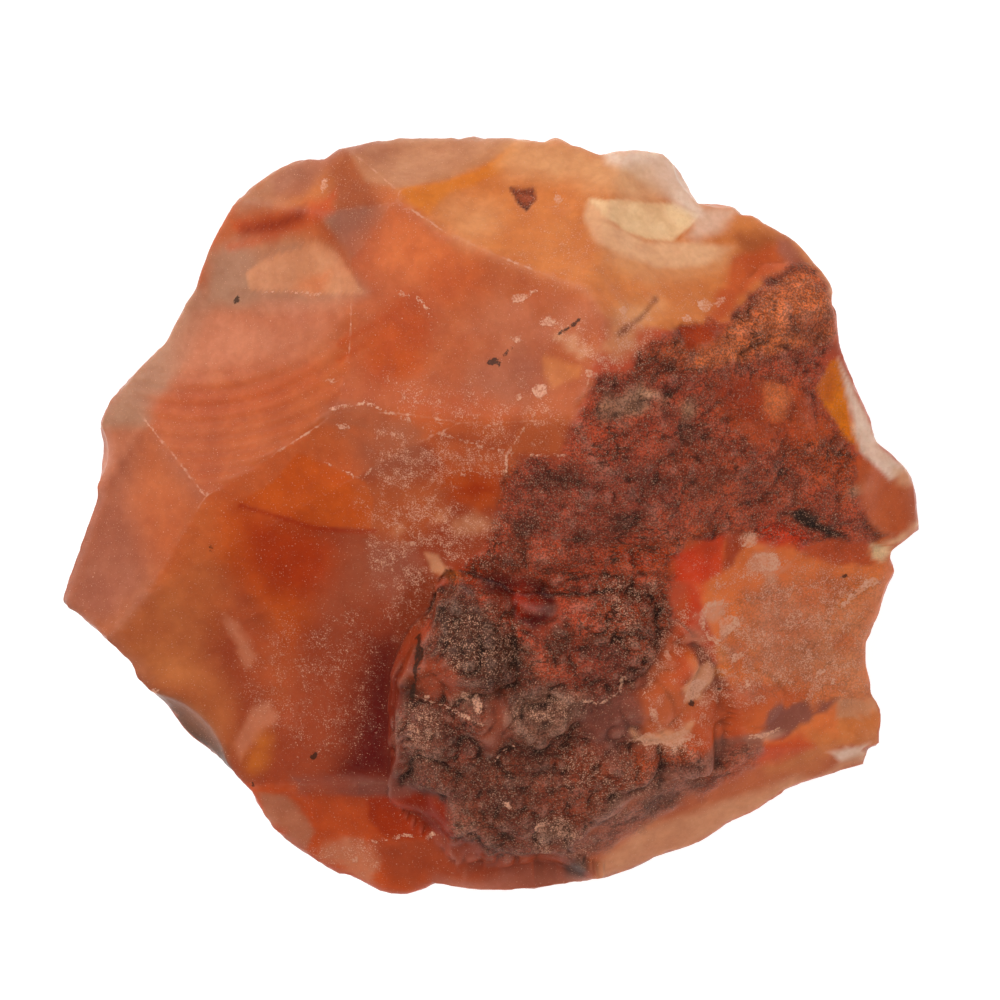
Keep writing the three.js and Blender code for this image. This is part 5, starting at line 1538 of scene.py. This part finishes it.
class CARNELIAN_OT_stage(bpy.types.Operator):
    """Build the pale floor, the soft lights and the camera"""
    bl_idname = "carnelian.stage"
    bl_label = "Build stage"

    def execute(self, context):
        settings = context.scene.carnelian_stage
        scene = context.scene
        half = settings.floor_width / 2
        mesh = bpy.data.meshes.new("stage_floor")
        mesh.from_pydata([(-half, -half, 0), (half, -half, 0), (half, half, 0), (-half, half, 0)], [],
                         [(0, 1, 2, 3)])
        mesh.materials.append(floor_finish())
        floor = bpy.data.objects.new("stage_floor", mesh)
        scene.collection.objects.link(floor)

        add_light(scene, "key_light", *KEY_LIGHT, settings.key_power)
        add_light(scene, "fill_light", *FILL_LIGHT, settings.fill_power)
        world = bpy.data.worlds.new("even_sky")
        world.use_nodes = True
        background = world.node_tree.nodes["Background"]
        background.inputs["Color"].default_value = (1, 1, 1, 1)
        background.inputs["Strength"].default_value = settings.sky
        scene.world = world
        scene.view_settings.view_transform = "Standard"

        data = bpy.data.cameras.new("camera")
        data.sensor_width = SENSOR
        data.lens = SENSOR * (settings.camera_height - RIM * MM) / settings.view_width
        data.clip_start, data.clip_end = 0.05, 10
        camera = bpy.data.objects.new("camera", data)
        camera.location = (AIM[0] * MM, AIM[1] * MM, settings.camera_height)
        scene.collection.objects.link(camera)
        scene.camera = camera
        return {"FINISHED"}


def add_light(scene, name, place, width, power):
    """A square soft light that faces the stone."""
    data = bpy.data.lights.new(name, "AREA")
    data.size = width
    data.energy = power
    light = bpy.data.objects.new(name, data)
    light.location = place
    light.rotation_euler = (Vector(LIT_POINT) - Vector(place)).to_track_quat("-Z", "Y").to_euler()
    scene.collection.objects.link(light)


class CARNELIAN_PT_panel(bpy.types.Panel):
    """The stone's settings and its two builders"""
    bl_idname = "CARNELIAN_PT_panel"
    bl_label = "Carnelian"
    bl_space_type = "VIEW_3D"
    bl_region_type = "UI"
    bl_category = "Carnelian"

    def draw(self, context):
        for settings, operator in (
            (context.scene.carnelian_stone, CARNELIAN_OT_stone.bl_idname),
            (context.scene.carnelian_stage, CARNELIAN_OT_stage.bl_idname),
        ):
            box = self.layout.box()
            for name in settings.__annotations__:
                box.prop(settings, name)
            box.operator(operator)


CLASSES = (StoneSettings, StageSettings, CARNELIAN_OT_stone, CARNELIAN_OT_stage, CARNELIAN_PT_panel)


def register():
    """Add the settings, the builders and the panel to Blender."""
    for item in CLASSES:
        bpy.utils.register_class(item)
    bpy.types.Scene.carnelian_stone = bpy.props.PointerProperty(type=StoneSettings)
    bpy.types.Scene.carnelian_stage = bpy.props.PointerProperty(type=StageSettings)


def unregister():
    """Take them away again."""
    del bpy.types.Scene.carnelian_stage
    del bpy.types.Scene.carnelian_stone
    for item in reversed(CLASSES):
        bpy.utils.unregister_class(item)


def main():
    """Build the stone and the stage with the settings as they come."""
    register()
    bpy.ops.carnelian.stone()
    bpy.ops.carnelian.stage()


if __name__ == "__main__":
    main()
